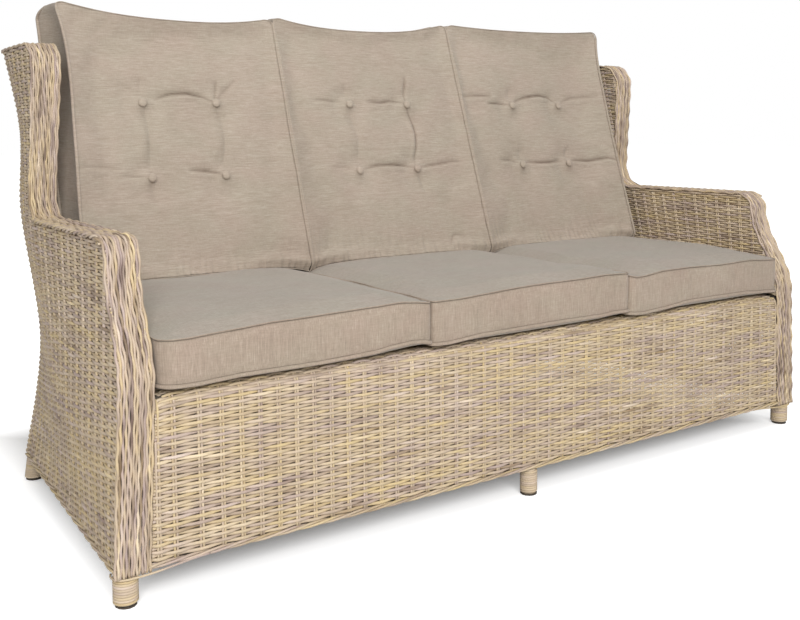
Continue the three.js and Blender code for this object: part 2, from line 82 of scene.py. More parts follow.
camera = placed("camera", bpy.data.cameras.new("camera"))
bpy.context.scene.camera = camera
camera.location = CAMERA_PLACE
camera.rotation_euler = [math.radians(turn) for turn in (CAMERA_TILT, CAMERA_ROLL, CAMERA_YAW)]
camera.data.sensor_width = SENSOR_WIDTH
camera.data.lens = SENSOR_WIDTH * FOCAL_PIXELS / FRAME_PIXELS
camera.data.shift_y = LENS_SHIFT

# The body's form

WIDTH = 1940
ARM_HEIGHT = 645
BACK_HEIGHT = 1022
FOOT_HEIGHT = 58
HEM_HEIGHT = 60
BAND_WIDTH = 68
WEAVE = 7
SIDE_LEAN = 0.048
KNEE_HEIGHT = 385
POST_SETBACK = 80
NOSE_RADIUS = 50
FILLET_RADIUS = 60
WING_DEPTH = 117
WING_FORWARD_LEAN = 21
WING_TOP_RADIUS = 65
REAR_EDGE_RADIUS = 9
DECK_TOP = 374
SEAT_DEPTH = 630
RECLINE = math.radians(15.7)
POST_INSET = 25.8
POST_SIDE_INSET = 26.4
RAIL_INSET = 21.8
LEDGE_END = 2 * RAIL_INSET
SHEET_TOP = 1014.7
JOINT_GAP = 0.3
WRAP_RADIUS = 22.8
SIDES = (("left", -1), ("right", 1))


def lerp(a, b, t):
    return a + (b - a) * t


def smoothstep(x, low, high):
    t = np.clip((x - low) / (high - low), 0, 1)
    return t * t * (3 - 2 * t)


def through_stations(heights, values):
    """A smooth curve through values given at rising heights."""
    h, v = np.array(heights, float), np.array(values, float)
    last = len(h) - 1
    low, high = np.maximum(np.arange(last + 1) - 1, 0), np.minimum(np.arange(last + 1) + 1, last)
    slope = (v[high] - v[low]) / (h[high] - h[low])

    def at(z):
        i = np.clip(np.searchsorted(h, z) - 1, 0, last - 1)
        span = h[i + 1] - h[i]
        t = (z - h[i]) / span
        rise = t * (1 - t) ** 2 * slope[i] - t * t * (1 - t) * slope[i + 1]
        return lerp(v[i], v[i + 1], t * t * (3 - 2 * t)) + span * rise

    return at


def back_face(z):
    return SEAT_DEPTH + math.tan(RECLINE) * (z - DECK_TOP)


WAIST, SHOULDER, WING_LEVEL = 390, 650, BACK_HEIGHT - 193
BACK_THICKNESS, BACK_TOP_THICKNESS = 78, 60
REAR_KICK = 105
REAR_SET_IN = [56, 74, 43, 52, 15]
SHOULDER_BEND = 6
REAR_WAIST, REAR_SHOULDER = [back_face(z) + BACK_THICKNESS for z in (WAIST, SHOULDER)]
REAR_TOP = back_face(BACK_HEIGHT) + BACK_TOP_THICKNESS
rear_face = through_stations(
    [0, WAIST, SHOULDER, BACK_HEIGHT],
    [REAR_WAIST + REAR_KICK, REAR_WAIST, REAR_SHOULDER, REAR_TOP],
)
rear_set_in = through_stations([0, WAIST, SHOULDER, WING_LEVEL, BACK_HEIGHT], REAR_SET_IN)


def front_half(z):
    return WIDTH / 2 - SIDE_LEAN * np.maximum(z - FOOT_HEIGHT, 0)


def inner_half(z):
    return front_half(z) - BAND_WIDTH


def rear_half(z):
    return front_half(z) - rear_set_in(z)


def front_face(z):
    return POST_SETBACK * smoothstep(z, KNEE_HEIGHT, ARM_HEIGHT - NOSE_RADIUS)


def side_half(y, z):
    bend = lerp(1, SHOULDER_BEND, smoothstep(z, HEM_HEIGHT, SHOULDER))
    return lerp(front_half(z), rear_half(z), np.clip(y / rear_face(z), 0, 1) ** bend)


WING_FRONT = back_face(ARM_HEIGHT) - WING_DEPTH
ARM_TO = WING_FRONT - FILLET_RADIUS
WING_TOP_Y = WING_FRONT - WING_FORWARD_LEAN
WING_TOP_Z = BACK_HEIGHT - WING_TOP_RADIUS
NOSE_Z = ARM_HEIGHT - NOSE_RADIUS
NOSE_Y = POST_SETBACK + NOSE_RADIUS
FILLET_Z = ARM_HEIGHT + FILLET_RADIUS


def arc(y, z, radius, start, end, count=24):
    turn = np.radians(np.linspace(start, end, count))
    return np.stack([y + radius * np.cos(turn), z + radius * np.sin(turn)], 1)


def unit(v):
    return v / np.maximum(np.linalg.norm(v, axis=-1, keepdims=True), 1e-9)


def run_along(points):
    """How far along a line each of its points lies."""
    lengths = np.linalg.norm(np.diff(points, axis=0), axis=1)
    return np.concatenate([[0], np.cumsum(lengths)])


def resample(points, step):
    """The same line with even steps, and how far along it they lie."""
    run = run_along(points)
    count = max(int(round(run[-1] / step)), 2)
    at = np.linspace(0, run[-1], count + 1)
    return np.stack([np.interp(at, run, c) for c in points.T], 1), at


def side_outline(step):
    """The side view's outline over arm and wing to the back's top: points, normals and run."""
    z = np.linspace(KNEE_HEIGHT, NOSE_Z, 60)
    tail = REAR_EDGE_RADIUS
    pieces = [
        np.array([[0, FOOT_HEIGHT], [0, KNEE_HEIGHT - 4]]),
        np.stack([front_face(z), z], 1),
        arc(NOSE_Y, NOSE_Z, NOSE_RADIUS, 180, 90)[1:],
        arc(ARM_TO, FILLET_Z, FILLET_RADIUS, -90, 0),
        arc(WING_TOP_Y + WING_TOP_RADIUS, WING_TOP_Z, WING_TOP_RADIUS, 180, 90),
        arc(REAR_TOP - tail, BACK_HEIGHT - tail, tail, 90, 10, 8),
    ]
    points, run = resample(np.concatenate(pieces), step)
    ahead = unit(np.gradient(points, axis=0))
    outward = np.stack([-ahead[:, 1], ahead[:, 0]], 1)
    return points, outward, run


def behind_band(z):
    """Y of the edge of the side sheets behind the band, at a height."""
    gap = WEAVE + JOINT_GAP
    low = front_face(z) + gap
    nose = NOSE_Y - np.sqrt(np.maximum((NOSE_RADIUS - gap) ** 2 - (z - NOSE_Z) ** 2, 0))
    fillet = ARM_TO + np.sqrt(np.maximum((FILLET_RADIUS + gap) ** 2 - (FILLET_Z - z) ** 2, 0))
    wing = lerp(WING_FRONT, WING_TOP_Y, (z - FILLET_Z) / (WING_TOP_Z - FILLET_Z)) + gap
    top_radius = WING_TOP_RADIUS - gap
    top = WING_TOP_Y + WING_TOP_RADIUS - np.sqrt(
        np.maximum(top_radius**2 - (z - WING_TOP_Z) ** 2, 0)
    )
    bounds = [z <= NOSE_Z, z <= ARM_HEIGHT - gap, z <= FILLET_Z, z <= WING_TOP_Z]
    return np.select(bounds, [low, nose, fillet, wing], top)


# Strands

STRAND_SIDES, ROUNDER = 6, 8
MAP_ROW_SPACE, MAP_SLACK = 16, 1.001
MAP_MARGIN, MAP_SHARE = 0.08, 0.84


class Strands:
    """Round strands as rings of points, made into one mesh of quads with closed ends.

    The seed sets a piece's noise apart from that of other pieces, and the row a strand's.
    """

    def __init__(self, seed, sides=STRAND_SIDES):
        self.seed = seed
        self.sides = sides
        self.parts = []

    def add(self, points, up, radius, row, closed=False, flat=1.0):
        points = np.asarray(points, float)
        if closed:
            ahead = np.roll(points, -1, 0) - np.roll(points, 1, 0)
        else:
            ahead = np.gradient(points, axis=0)
        ahead = unit(ahead)
        across = unit(np.cross(ahead, np.broadcast_to(up, points.shape)))
        out = np.cross(across, ahead)
        turn = 2 * np.pi * (np.arange(self.sides) + 0.5) / self.sides
        size = np.broadcast_to(radius, (len(points),))[:, None, None]
        ring = points[:, None] + size * (
            np.cos(turn)[None, :, None] * across[:, None]
            + flat * np.sin(turn)[None, :, None] * out[:, None]
        )
        run = run_along(points)
        if closed:
            run = np.append(run, run[-1] + np.linalg.norm(points[0] - points[-1]))
        self.parts.append((ring, run, row, closed))

    def mesh(self, name):
        """One mesh, with its strands in rows in the UV map and a lay attribute for the material."""
        n = self.sides
        longest = max(p[1][-1] for p in self.parts)
        total = sum(p[1][-1] for p in self.parts)
        row_length = max(longest, math.sqrt(total * MAP_ROW_SPACE)) * MAP_SLACK
        shelf, used, shelves = 0, 0.0, []
        for _, run, _, _ in self.parts:
            if used + run[-1] > row_length:
                shelf, used = shelf + 1, 0.0
            shelves.append((shelf, used))
            used += run[-1]
        verts, quads, uvs, lays, caps = [], [], [], [], []
        base = 0
        for (ring, run, row, closed), (s, start) in zip(self.parts, shelves):
            count = len(ring)
            i = np.arange(count if closed else count - 1)[:, None]
            j = np.arange(n)[None, :]
            k, m = (i + 1) % count, (j + 1) % n
            quad = np.stack([i * n + j, k * n + j, k * n + m, i * n + m], -1)
            quads.append(base + quad.reshape(-1, 4))
            along = [(start + run[at]) / row_length for at in (i, i + 1)]
            across = [(s + MAP_MARGIN + MAP_SHARE * (j + a) / n) / (shelf + 1) for a in (0, 1)]
            u0, u1, v0, v1 = np.broadcast_arrays(*along, *across)
            uvs.append(np.stack([u0, v0, u1, v0, u1, v1, u0, v1], -1).reshape(-1, 4, 2))
            if not closed:
                caps.append(base + np.arange(n))
                caps.append(base + (count - 1) * n + np.arange(n)[::-1])
            lay = np.empty((count, n, 3))
            lay[..., 0] = (run[:count] * MM)[:, None]
            lay[..., 1] = row
            lay[..., 2] = self.seed
            lays.append(lay.reshape(-1, 3))
            verts.append(ring.reshape(-1, 3))
            base += count * n
        caps = np.array(caps, int).reshape(-1, n)
        uvs = np.concatenate([np.concatenate(uvs).reshape(-1, 2), np.zeros((caps.size, 2))])
        groups = [(np.concatenate(quads), 4), (caps, n)]
        mesh = raw_mesh(name, to_frame(np.concatenate(verts)), groups)
        layer = mesh.uv_layers.new(name="OFBake")
        layer.data.foreach_set("uv", uvs.astype(np.float32).ravel())
        lay = mesh.attributes.new("lay", "FLOAT_VECTOR", "POINT")
        lay.data.foreach_set("vector", np.concatenate(lays).astype(np.float32).ravel())
        return mesh


def to_frame(points):
    """From millimetres, with Y from the front face, to metres in the shared frame."""
    return np.asarray(points, float) * MM + np.array([0, FRONT_Y, 0])


def from_frame(points):
    """From metres in the shared frame to millimetres, with Y from the front face."""
    return (points - np.array([0, FRONT_Y, 0])) / MM


def raw_mesh(name, verts, groups):
    """A mesh from arrays of faces, each group with its own count of corners."""
    groups = [(f, n) for f, n in groups if len(f)]
    mesh = bpy.data.meshes.new(name)
    mesh.vertices.add(len(verts))
    mesh.vertices.foreach_set("co", verts.astype(np.float32).ravel())
    corners = np.concatenate([f.ravel() for f, _ in groups])
    mesh.loops.add(len(corners))
    mesh.loops.foreach_set("vertex_index", corners.astype(np.int32))
    counts = np.concatenate([np.full(len(f), n) for f, n in groups])
    mesh.polygons.add(len(counts))
    starts = np.concatenate([[0], np.cumsum(counts)[:-1]])
    mesh.polygons.foreach_set("loop_start", starts.astype(np.int32))
    mesh.update(calc_edges=True)
    mesh.polygons.foreach_set("use_smooth", np.ones(len(counts), bool))
    return mesh


def piece(name, mesh, material, body, nodes):
    """A visible piece that rides on a body, in place of the nodes that it replaces."""
    obj = placed(name, mesh)
    if material:
        mesh.materials.append(material)
    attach(obj, body)
    if nodes:
        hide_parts(*nodes)
    return obj


def strand_piece(name, strands, material, nodes=(), body="frame"):
    piece(name, strands.mesh(name), material, body, nodes)


# Materials


def tone(red, green, blue):
    """A screen colour, 0 to 255, as the shader's linear one."""
    parts = [c / 255 for c in (red, green, blue)]
    return [c / 12.92 if c <= 0.04045 else ((c + 0.055) / 1.055) ** 2.4 for c in parts] + [1]


def stops(*rows):
    """Stops of a ramp, from rows of place, red, green and blue."""
    return [(place, tone(*colour)) for place, *colour in rows]


class Shader:
    """A node material, with short calls to add and join nodes."""

    def __init__(self, name):
        self.material = bpy.data.materials.new(name)
        self.material.use_nodes = True
        self.tree = self.material.node_tree
        self.tree.nodes.clear()
        self.out = self.tree.nodes.new("ShaderNodeOutputMaterial")

    def node(self, kind, inputs=None, **settings):
        made = self.tree.nodes.new("ShaderNode" + kind)
        for key, value in settings.items():
            setattr(made, key, value)
        for key, value in (inputs or {}).items():
            if isinstance(value, bpy.types.NodeSocket):
                self.tree.links.new(value, made.inputs[key])
            else:
                made.inputs[key].default_value = value
        return made

    def scaled(self, vector, factors):
        return self.node("VectorMath", {0: vector, 1: factors}, operation="MULTIPLY").outputs[0]

    def noise(self, vector, scale=1.0, detail=2.0, rough=0.5):
        inputs = {"Vector": vector, "Scale": scale, "Detail": detail, "Roughness": rough}
        return self.node("TexNoise", inputs).outputs["Fac"]

    def math(self, operation, a, b=0.0, c=0.0):
        return self.node("Math", {0: a, 1: b, 2: c}, operation=operation).outputs[0]

    def ramp(self, factor, stops):
        made = self.node("ValToRGB", {"Fac": factor})
        elements = made.color_ramp.elements
        while len(elements) < len(stops):
            elements.new(0.5)
        for element, (place, colour) in zip(elements, stops):
            element.position = place
            element.color = colour
        return made.outputs["Color"]

    def mix(self, factor, a, b, blend="MIX"):
        inputs = {0: factor, 6: a, 7: b}
        return self.node("Mix", inputs, data_type="RGBA", blend_type=blend).outputs[2]

    def place(self):
        """Where a point lies on its own object."""
        return self.node("TexCoord").outputs["Object"]

    def spread(self, value, gain, middle=0.5):
        """A value around a half, stretched and moved to another middle."""
        return self.math("MULTIPLY_ADD", self.math("SUBTRACT", value, 0.5), gain, middle)

    def total(self, a, share_a, b, share_b):
        parts = [self.math("MULTIPLY", a, share_a), self.math("MULTIPLY", b, share_b)]
        return self.math("ADD", *parts)

    def bump(self, strength, distance, height):
        inputs = {"Strength": strength, "Distance": distance, "Height": height}
        return self.node("Bump", inputs).outputs[0]

    def finish(self, **inputs):
        surface = self.node("BsdfPrincipled", {k.replace("_", " "): v for k, v in inputs.items()})
        self.tree.links.new(surface.outputs[0], self.out.inputs["Surface"])
        return self.material


# Scales of the strands' noise: along a strand, from row to row, and between pieces
DRIFT_SCALE, OWN_SCALE = (6.5, 0.33, 7.0), (6.0, 17.3, 5.0)
GRAIN_SCALE, HUE_SCALE = (160.0, 61.7, 3.0), (3.1, 7.7, 9.0)
STRAND_SPREAD, GRAIN_SPREAD = 3.1, 0.10


def strand_material(name, tones, patch=0.5):
    """Round synthetic strand: tones that run along each strand and drift over its neighbours."""
    s = Shader(name)
    lay = s.node("Attribute", attribute_name="lay").outputs["Vector"]
    drift = s.noise(s.scaled(lay, DRIFT_SCALE))
    own = s.noise(s.scaled(lay, OWN_SCALE), rough=0.6)
    grain = s.noise(s.scaled(lay, GRAIN_SCALE))
    wide = s.spread(s.total(drift, patch, own, 1 - patch), STRAND_SPREAD)
    colour = s.ramp(s.spread(grain, GRAIN_SPREAD, wide), tones)
    hue = s.noise(s.scaled(lay, HUE_SCALE), rough=0.6)
    colour = s.mix(1.0, colour, s.ramp(hue, TINTS), "MULTIPLY")
    fine = s.noise(s.place(), 900.0, 3.0)
    rough = s.math("MULTIPLY_ADD", fine, 0.2, 0.42)
    bump = s.bump(0.25, 0.0004, fine)
    return s.finish(Base_Color=colour, Roughness=rough, Normal=bump, Specular_IOR_Level=0.4)


TINTS = stops((0.36, 255, 248, 224), (0.5, 250, 246, 241), (0.64, 244, 239, 252))
WEAVE_STOPS = stops(
    (0.00, 150, 132, 113),
    (0.18, 172, 156, 139),
    (0.34, 186, 170, 151),
    (0.48, 191, 176, 153),
    (0.60, 202, 186, 157),
    (0.72, 198, 183, 162),
    (0.86, 207, 193, 172),
    (1.00, 221, 207, 185),
)
BAND_STOPS = stops(
    (0.00, 118, 101, 86),
    (0.22, 150, 134, 120),
    (0.42, 176, 160, 144),
    (0.58, 197, 180, 154),
    (0.74, 184, 169, 152),
    (1.00, 224, 209, 182),
)
CANE_STOPS = stops(
    (0.00, 176, 160, 138),
    (0.35, 196, 180, 157),
    (0.70, 208, 193, 169),
    (1.00, 219, 205, 182),
)
weave_material = strand_material("woven_strand", WEAVE_STOPS)
band_material = strand_material("band_strand", BAND_STOPS, 0.2)
cane_material = strand_material("wound_strand", CANE_STOPS, 0.7)

# Stretch of the slubs along and across them, of the fine threads, and of the cross threads
COARSE, CLOSE = 28.0, 620.0
FINER = 3.1
CROSS_CLOSE, CROSS_COARSE = 700, 60
SLUB_SHARE = 0.6
SLUB_SPREAD, CROSS_SPREAD, CLOUD_SPREAD = 2.2, 0.5, 0.3
FABRIC_TINTS = stops((0.35, 252, 254, 250), (0.65, 255, 252, 250))
# Painted shade, multiplied into the colour along pressed folds
CREASE_SHADE = tone(168, 156, 146)
SHEEN = {"Sheen_Weight": 0.15, "Sheen_Roughness": 0.5, "Specular_IOR_Level": 0.2}


def thread_waves(s, coords, direction):
    """Fine ridges of the cloth's threads along one axis."""
    inputs = {"Vector": coords, "Scale": 260.0, "Distortion": 1.5, "Detail": 1.0}
    return s.node("TexWave", inputs, bands_direction=direction).outputs["Fac"]


def fabric_material(name, along, *tones):
    """Woven upholstery with slubs along one axis; along is the stretch on X, Y and Z.

    The tones are the dark, the middle and the pale one. A crease attribute paints shade into
    pressed folds.
    """
    s = Shader(name)
    coords = s.place()
    slub = s.noise(s.scaled(coords, along), 1.0, 3.0, 0.7)
    fine = s.noise(s.scaled(coords, tuple(c * FINER for c in along)), rough=0.6)
    crossed = tuple(CROSS_CLOSE if c == COARSE else CROSS_COARSE for c in along)
    cross = s.noise(s.scaled(coords, crossed))
    cloud = s.noise(coords, 6.0)
    hue = s.noise(s.scaled(coords, (9.0, 9.0, 14.0)), 1.0, 3.0)
    threads = s.total(slub, SLUB_SHARE, fine, 1 - SLUB_SHARE)
    lit = s.spread(threads, SLUB_SPREAD)
    lit = s.spread(cross, CROSS_SPREAD, lit)
    lit = s.spread(cloud, CLOUD_SPREAD, lit)
    colour = s.ramp(lit, [(place, tone(*shade)) for place, shade in zip((0.0, 0.5, 1.0), tones)])
    colour = s.mix(1.0, colour, s.ramp(hue, FABRIC_TINTS), "MULTIPLY")
    crease_shading = s.node("Attribute", attribute_name="crease_shading").outputs["Fac"]
    # Painted shade: darker along the pressed folds, by the attribute the back cushions carry
    colour = s.mix(crease_shading, colour, CREASE_SHADE, "MULTIPLY")
    weave = s.math("MULTIPLY", thread_waves(s, coords, "X"), thread_waves(s, coords, "Z"))
    bump = s.bump(0.35, 0.0006, s.total(threads, 1.4, weave, 0.8))
    return s.finish(Base_Color=colour, Roughness=0.9, Normal=bump, **SHEEN)


LEVEL_SLUBS, TOP_SLUBS = (COARSE, COARSE, CLOSE), (COARSE, CLOSE, CLOSE)
UPRIGHT_SLUBS = (CLOSE, CLOSE, COARSE)
FABRICS = [
    ("panel_fabric", LEVEL_SLUBS, (140, 127, 114), (163, 150, 137), (184, 172, 160)),
    ("seat_top_fabric", TOP_SLUBS, (136, 127, 116), (156, 147, 137), (174, 166, 157)),
    ("border_fabric", UPRIGHT_SLUBS, (133, 118, 106), (156, 141, 127), (180, 166, 153)),
    # The buttons' cloth is the panel's, painted paler as the light their domes catch
    ("button_fabric_painted_lit", LEVEL_SLUBS, (148, 135, 122), (168, 154, 141), (186, 173, 160)),
    # Dark strands laid in the seat seams, painted shade for their grooves
    ("seam_shade_strand", LEVEL_SLUBS, (104, 92, 80), (121, 108, 95), (137, 124, 111)),
]
panel_fabric, top_fabric, border_fabric, button_fabric_painted_lit, seam_shade_strand = [
    fabric_material(*fabric) for fabric in FABRICS
]

# Weaving

WEFT_PITCH = 6.15
STAKE_PITCH = 38.5
WEFT_RADIUS, APRON_RADIUS, HIDDEN_RADIUS = 3.15, 3.25, 4.3
WEFT_FLATNESS = 0.8
STAKE_RADIUS = 2.4
STAKE_PAIR = 2.6
STAKE_STEP = 12.0
STAKE_RISE = 0.7
STAKE_OVERHANG = 4
EXTRA_STAKES = 4
END_CLEARANCE = 0.3
MID_DEPTH, INNER_DEPTH, HIDDEN_DEPTH = 4.8, 5.2, 6.3
SWING = 2.5
SWING_POWER = 0.85
TUCK_LENGTH = 9
SHORTEST_WEFT = 12
WEAVE_FROM = 77
SHEET_END = SHEET_TOP - 1
SHEET_MARGIN = 4
PIECE_FACES = 98000
WOBBLE_GAIN = 0.6
DEPTH_WOBBLE, LEVEL_WOBBLE, STAKE_WOBBLE = 0.18, 0.22, 0.25
RADIUS_SPREAD = 0.03
STAKE_ROWS = 300

rng = np.random.default_rng(7)

# What sets the noise of each piece apart; a side adds or takes away one
SEEDS = {
    "inner_side": 1, "outer_side": 6, "outer_back": 11, "inner_back": 12, "seat_deck": 13,
    "front_apron": 14, "side_band": 20, "top_band": 25, "ropes": 30, "front_foot": 40,
    "rear_foot": 44, "centre_foot": 48, "seat_piping": 60, "seat_seam_shade": 61, "back_piping": 70,
}


def wobble(count, size, smooth=5):
    """Slow random drift along a strand."""
    raw = rng.normal(0, size, count + smooth)
    slow = np.convolve(raw, np.ones(smooth) / smooth, "same")[:count]
    return slow * math.sqrt(smooth) * WOBBLE_GAIN


def weave_rows(levels, span, stakes, surface, per_half, mid, tuck):
    """Wefts over and under the stakes, as (points, outward, row) for each level.

    A weft has per_half points from stake to stake, and tuck says which ends go in behind.
    """
    made = []
    for row, level in enumerate(levels):
        low, high = span(level)
        if high - low < SHORTEST_WEFT:
            continue
        at = stakes(level)
        count = np.arange(len(at))
        pitch = at[1] - at[0]
        beyond = pitch * EXTRA_STAKES
        whole = np.concatenate([[at[0] - beyond], at, [at[-1] + beyond]])
        index = np.concatenate([[-EXTRA_STAKES], count, [count[-1] + EXTRA_STAKES]])
        first, last = np.interp([low, high], whole, index)
        from_step = math.ceil(first * per_half + END_CLEARANCE)
        to_step = math.floor(last * per_half - END_CLEARANCE)
        inner = np.arange(from_step, to_step + 1)
        k = np.concatenate([[first], inner / per_half, [last]])
        s = np.interp(k, index, whole)
        wave = np.cos(np.pi * (k + row))
        depth = SWING * np.sign(wave) * np.abs(wave) ** SWING_POWER
        if tuck[0]:
            depth = lerp(-SWING, depth, smoothstep(s, low, low + TUCK_LENGTH))
        if tuck[1]:
            depth = lerp(-SWING, depth, smoothstep(-s, -high, -high + TUCK_LENGTH))
        depth = depth + wobble(len(s), DEPTH_WOBBLE)
        points, outward = surface(s, level + wobble(len(s), LEVEL_WOBBLE))
        made.append((points + outward * (depth - mid)[:, None], outward, row))
    return made


def stake_lines(levels, span, stakes, surface, mid):
    """Pairs of stakes, clipped to the sheet."""
    made = []
    t = np.arange(levels[0] - STAKE_OVERHANG, levels[-1] + STAKE_OVERHANG, STAKE_STEP)
    bounds = np.array([span(v) for v in t])
    lines = np.array([stakes(v) for v in t])
    for k in range(lines.shape[1]):
        for shift in (-STAKE_PAIR, STAKE_PAIR):
            s = lines[:, k] + shift
            inside = (s > bounds[:, 0] + 1) & (s < bounds[:, 1] - 1)
            edges = np.flatnonzero(np.diff(np.concatenate([[0], inside.astype(int), [0]])))
            for start, stop in zip(edges[::2], edges[1::2]):
                if stop - start < 3:
                    continue
                part = slice(start, stop)
                points, outward = surface(s[part] + wobble(stop - start, STAKE_WOBBLE), t[part])
                row = STAKE_ROWS + 2 * k + (shift > 0)
                made.append((points - outward * (mid - STAKE_RISE), outward, row))
    return made


def woven(levels, span, stakes, surface, per_half, mid=MID_DEPTH, tuck=(True, True)):
    """A sheet's wefts, and then its stakes."""
    rows = weave_rows(levels, span, stakes, surface, per_half, mid, tuck)
    return rows, stake_lines(levels, span, stakes, surface, mid)


def build_weave(name, rows, stakes, seed, weft=WEFT_RADIUS):
    """Makes pieces from wefts and stakes, split by alternate strands to keep each piece small."""
    faces = sum(len(p) for p, _, _ in rows) * STRAND_SIDES
    parts = max(1, math.ceil(faces / PIECE_FACES))
    groups = [(rows[i::parts], weft, f"{name}_wefts_{i + 1}") for i in range(parts)]
    groups.append((stakes, STAKE_RADIUS, f"{name}_stakes"))
    for lines, radius, label in groups:
        strands = Strands(seed)
        flat = WEFT_FLATNESS if radius == weft else 1.0
        for points, outward, row in lines:
            size = radius * (1 + rng.normal(0, RADIUS_SPREAD))
            strands.add(points, outward, size, row, flat=flat)
        strand_piece(label, strands, weave_material, [f"{name}_weave"])


FIRST_STAKE, SIDE_STAKES = 0.25, 18
BEHIND_BAND_OVERLAP = 3.5


def side_sheet(side, outer):
    """One woven skin of an arm and wing; rows are level and the stakes fan with the back's lean."""
    share = np.arange(FIRST_STAKE, SIDE_STAKES + 1) / (SIDE_STAKES + FIRST_STAKE)

    def rear(z):
        return rear_face(z) - POST_INSET if outer else back_face(z) + WEAVE

    def span(z):
        return float(behind_band(z)) - BEHIND_BAND_OVERLAP, float(rear(z))

    def stakes(z):
        return rear(z) * share

    def surface(y, z):
        z = np.broadcast_to(z, np.shape(y))
        x = side_half(y, z) if outer else inner_half(z)
        points = np.stack([side * x, y, z], -1)
        return points, np.broadcast_to([side if outer else -side, 0, 0], points.shape)

    levels = np.arange(WEAVE_FROM if outer else DECK_TOP - SHEET_MARGIN, SHEET_END, WEFT_PITCH)
    mid = MID_DEPTH if outer else INNER_DEPTH
    return woven(levels, span, stakes, surface, 5 if outer else 6, mid, (True, not outer))


for word, side in SIDES:
    for kind in ("outer", "inner"):
        seed = SEEDS[f"{kind}_side"] + side
        build_weave(f"{word}_{kind}_side", *side_sheet(side, kind == "outer"), seed)

BACK_STAKES = 46
BACK_STAKE_MARGIN = 6


def outer_back():
    """The rear skin, with both rear corners."""

    def corner(z):
        return rear_half(z) - POST_INSET

    quarter = POST_INSET * math.pi / 2

    def span(z):
        return -float(corner(z)) - quarter, float(corner(z)) + quarter

    def stakes(z):
        c = float(corner(z))
        middle = np.linspace(-c + BACK_STAKE_MARGIN, c - BACK_STAKE_MARGIN, BACK_STAKES)
        return np.concatenate([[-c - quarter], middle, [c + quarter]])

    def surface(s, z):
        z = np.broadcast_to(z, np.shape(s))
        c, rear = corner(z), rear_face(z)
        wide = side_half(rear - POST_INSET, z) - c
        turn = np.clip((np.abs(s) - c) / POST_INSET, 0, math.pi / 2)
        x = np.where(np.abs(s) > c, np.sign(s) * (c + wide * np.sin(turn)), s)
        points = np.stack([x, rear - POST_INSET + POST_INSET * np.cos(turn), z], -1)
        outward = np.stack([np.sign(s) * np.sin(turn), np.cos(turn), 0 * turn], -1)
        return points, outward

    levels = np.arange(WEAVE_FROM, SHEET_END, WEFT_PITCH)
    return woven(levels, span, stakes, surface, 5, tuck=(False, False))


build_weave("outer_back", *outer_back(), SEEDS["outer_back"], weft=HIDDEN_RADIUS)

FLAT_STAKE_MARGIN = 8


def flat_sheet(levels, half, surface, per_half, mid, at=None):
    """A sheet as wide as half says; its stakes are evenly spread, or where at puts them."""

    def span(t):
        reach = float(half(t))
        return -reach, reach

    def stakes(_):
        if at is not None:
            return at
        reach = float(half(levels[0])) - FLAT_STAKE_MARGIN
        count = max(int(round(2 * reach / STAKE_PITCH)), 1)
        return np.linspace(-reach, reach, count + 1)

    return woven(levels, span, stakes, surface, per_half, mid)


def inner_back_surface(x, z):
    z = np.broadcast_to(z, np.shape(x))
    points = np.stack([x, back_face(z), z], -1)
    return points, np.broadcast_to([0, -math.cos(RECLINE), math.sin(RECLINE)], points.shape)


def deck_surface(x, y):
    y = np.broadcast_to(y, np.shape(x))
    points = np.stack([x, y, np.full(np.shape(x), float(DECK_TOP))], -1)
    return points, np.broadcast_to([0, 0, 1], points.shape)


FACE_RISE = DECK_TOP - RAIL_INSET - WEAVE_FROM
QUARTER = RAIL_INSET * math.pi / 2
APRON_END = 886
CORNER_DROOP, DROOP_REACH = 8, 45
DROOP_FROM, DROOP_TO = 270, 352
LEFT_STAKES = [-APRON_END, -855, -805, -762, -722.5, -684, -645.5]
EVEN_STAKES_FROM, EVEN_STAKES_TO = -607, 870


def apron_profile(t):
    """Y, Z and the outward normal at a run up the apron and back over the rail."""
    turn = np.clip((t - FACE_RISE) / RAIL_INSET, 0, math.pi / 2)
    y = RAIL_INSET * (1 - np.cos(turn)) + np.maximum(t - FACE_RISE - QUARTER, 0)
    z = WEAVE_FROM + np.minimum(t, FACE_RISE) + RAIL_INSET * np.sin(turn)
    return y, z, -np.cos(turn), np.sin(turn)


def apron_surface(x, t):
    y, z, ny, nz = apron_profile(np.broadcast_to(t, np.shape(x)))
    towards_end = np.exp((np.abs(x) - APRON_END) / DROOP_REACH)
    z = z - CORNER_DROOP * towards_end * smoothstep(z, DROOP_FROM, DROOP_TO)
    return np.stack([x, y, z], -1), np.stack([0 * x, ny, nz], -1)


def apron_half(t):
    return inner_half(apron_profile(np.asarray(float(t)))[1]) - 1


def back_half(z):
    return inner_half(z) - SHEET_MARGIN


def deck_half(_):
    return inner_half(DECK_TOP) - SHEET_MARGIN


DECK_GAP = 3
back_levels = np.arange(DECK_TOP, SHEET_END, WEFT_PITCH)
deck_levels = np.arange(LEDGE_END + DECK_GAP, back_face(DECK_TOP) - SHEET_MARGIN, WEFT_PITCH)
apron_levels = np.arange(0, FACE_RISE + QUARTER + RAIL_INSET - 1, WEFT_PITCH)
even_stakes = np.arange(EVEN_STAKES_FROM, EVEN_STAKES_TO, STAKE_PITCH)
apron_stakes = np.concatenate([LEFT_STAKES, even_stakes, [APRON_END]])
back_parts = flat_sheet(back_levels, back_half, inner_back_surface, 4, HIDDEN_DEPTH)
build_weave("inner_back", *back_parts, SEEDS["inner_back"])
deck_parts = flat_sheet(deck_levels, deck_half, deck_surface, 4, HIDDEN_DEPTH)
build_weave("seat_deck", *deck_parts, SEEDS["seat_deck"])
apron_parts = flat_sheet(apron_levels, apron_half, apron_surface, 6, MID_DEPTH, apron_stakes)
build_weave("front_apron", *apron_parts, SEEDS["front_apron"], weft=APRON_RADIUS)

# Bands of long strands

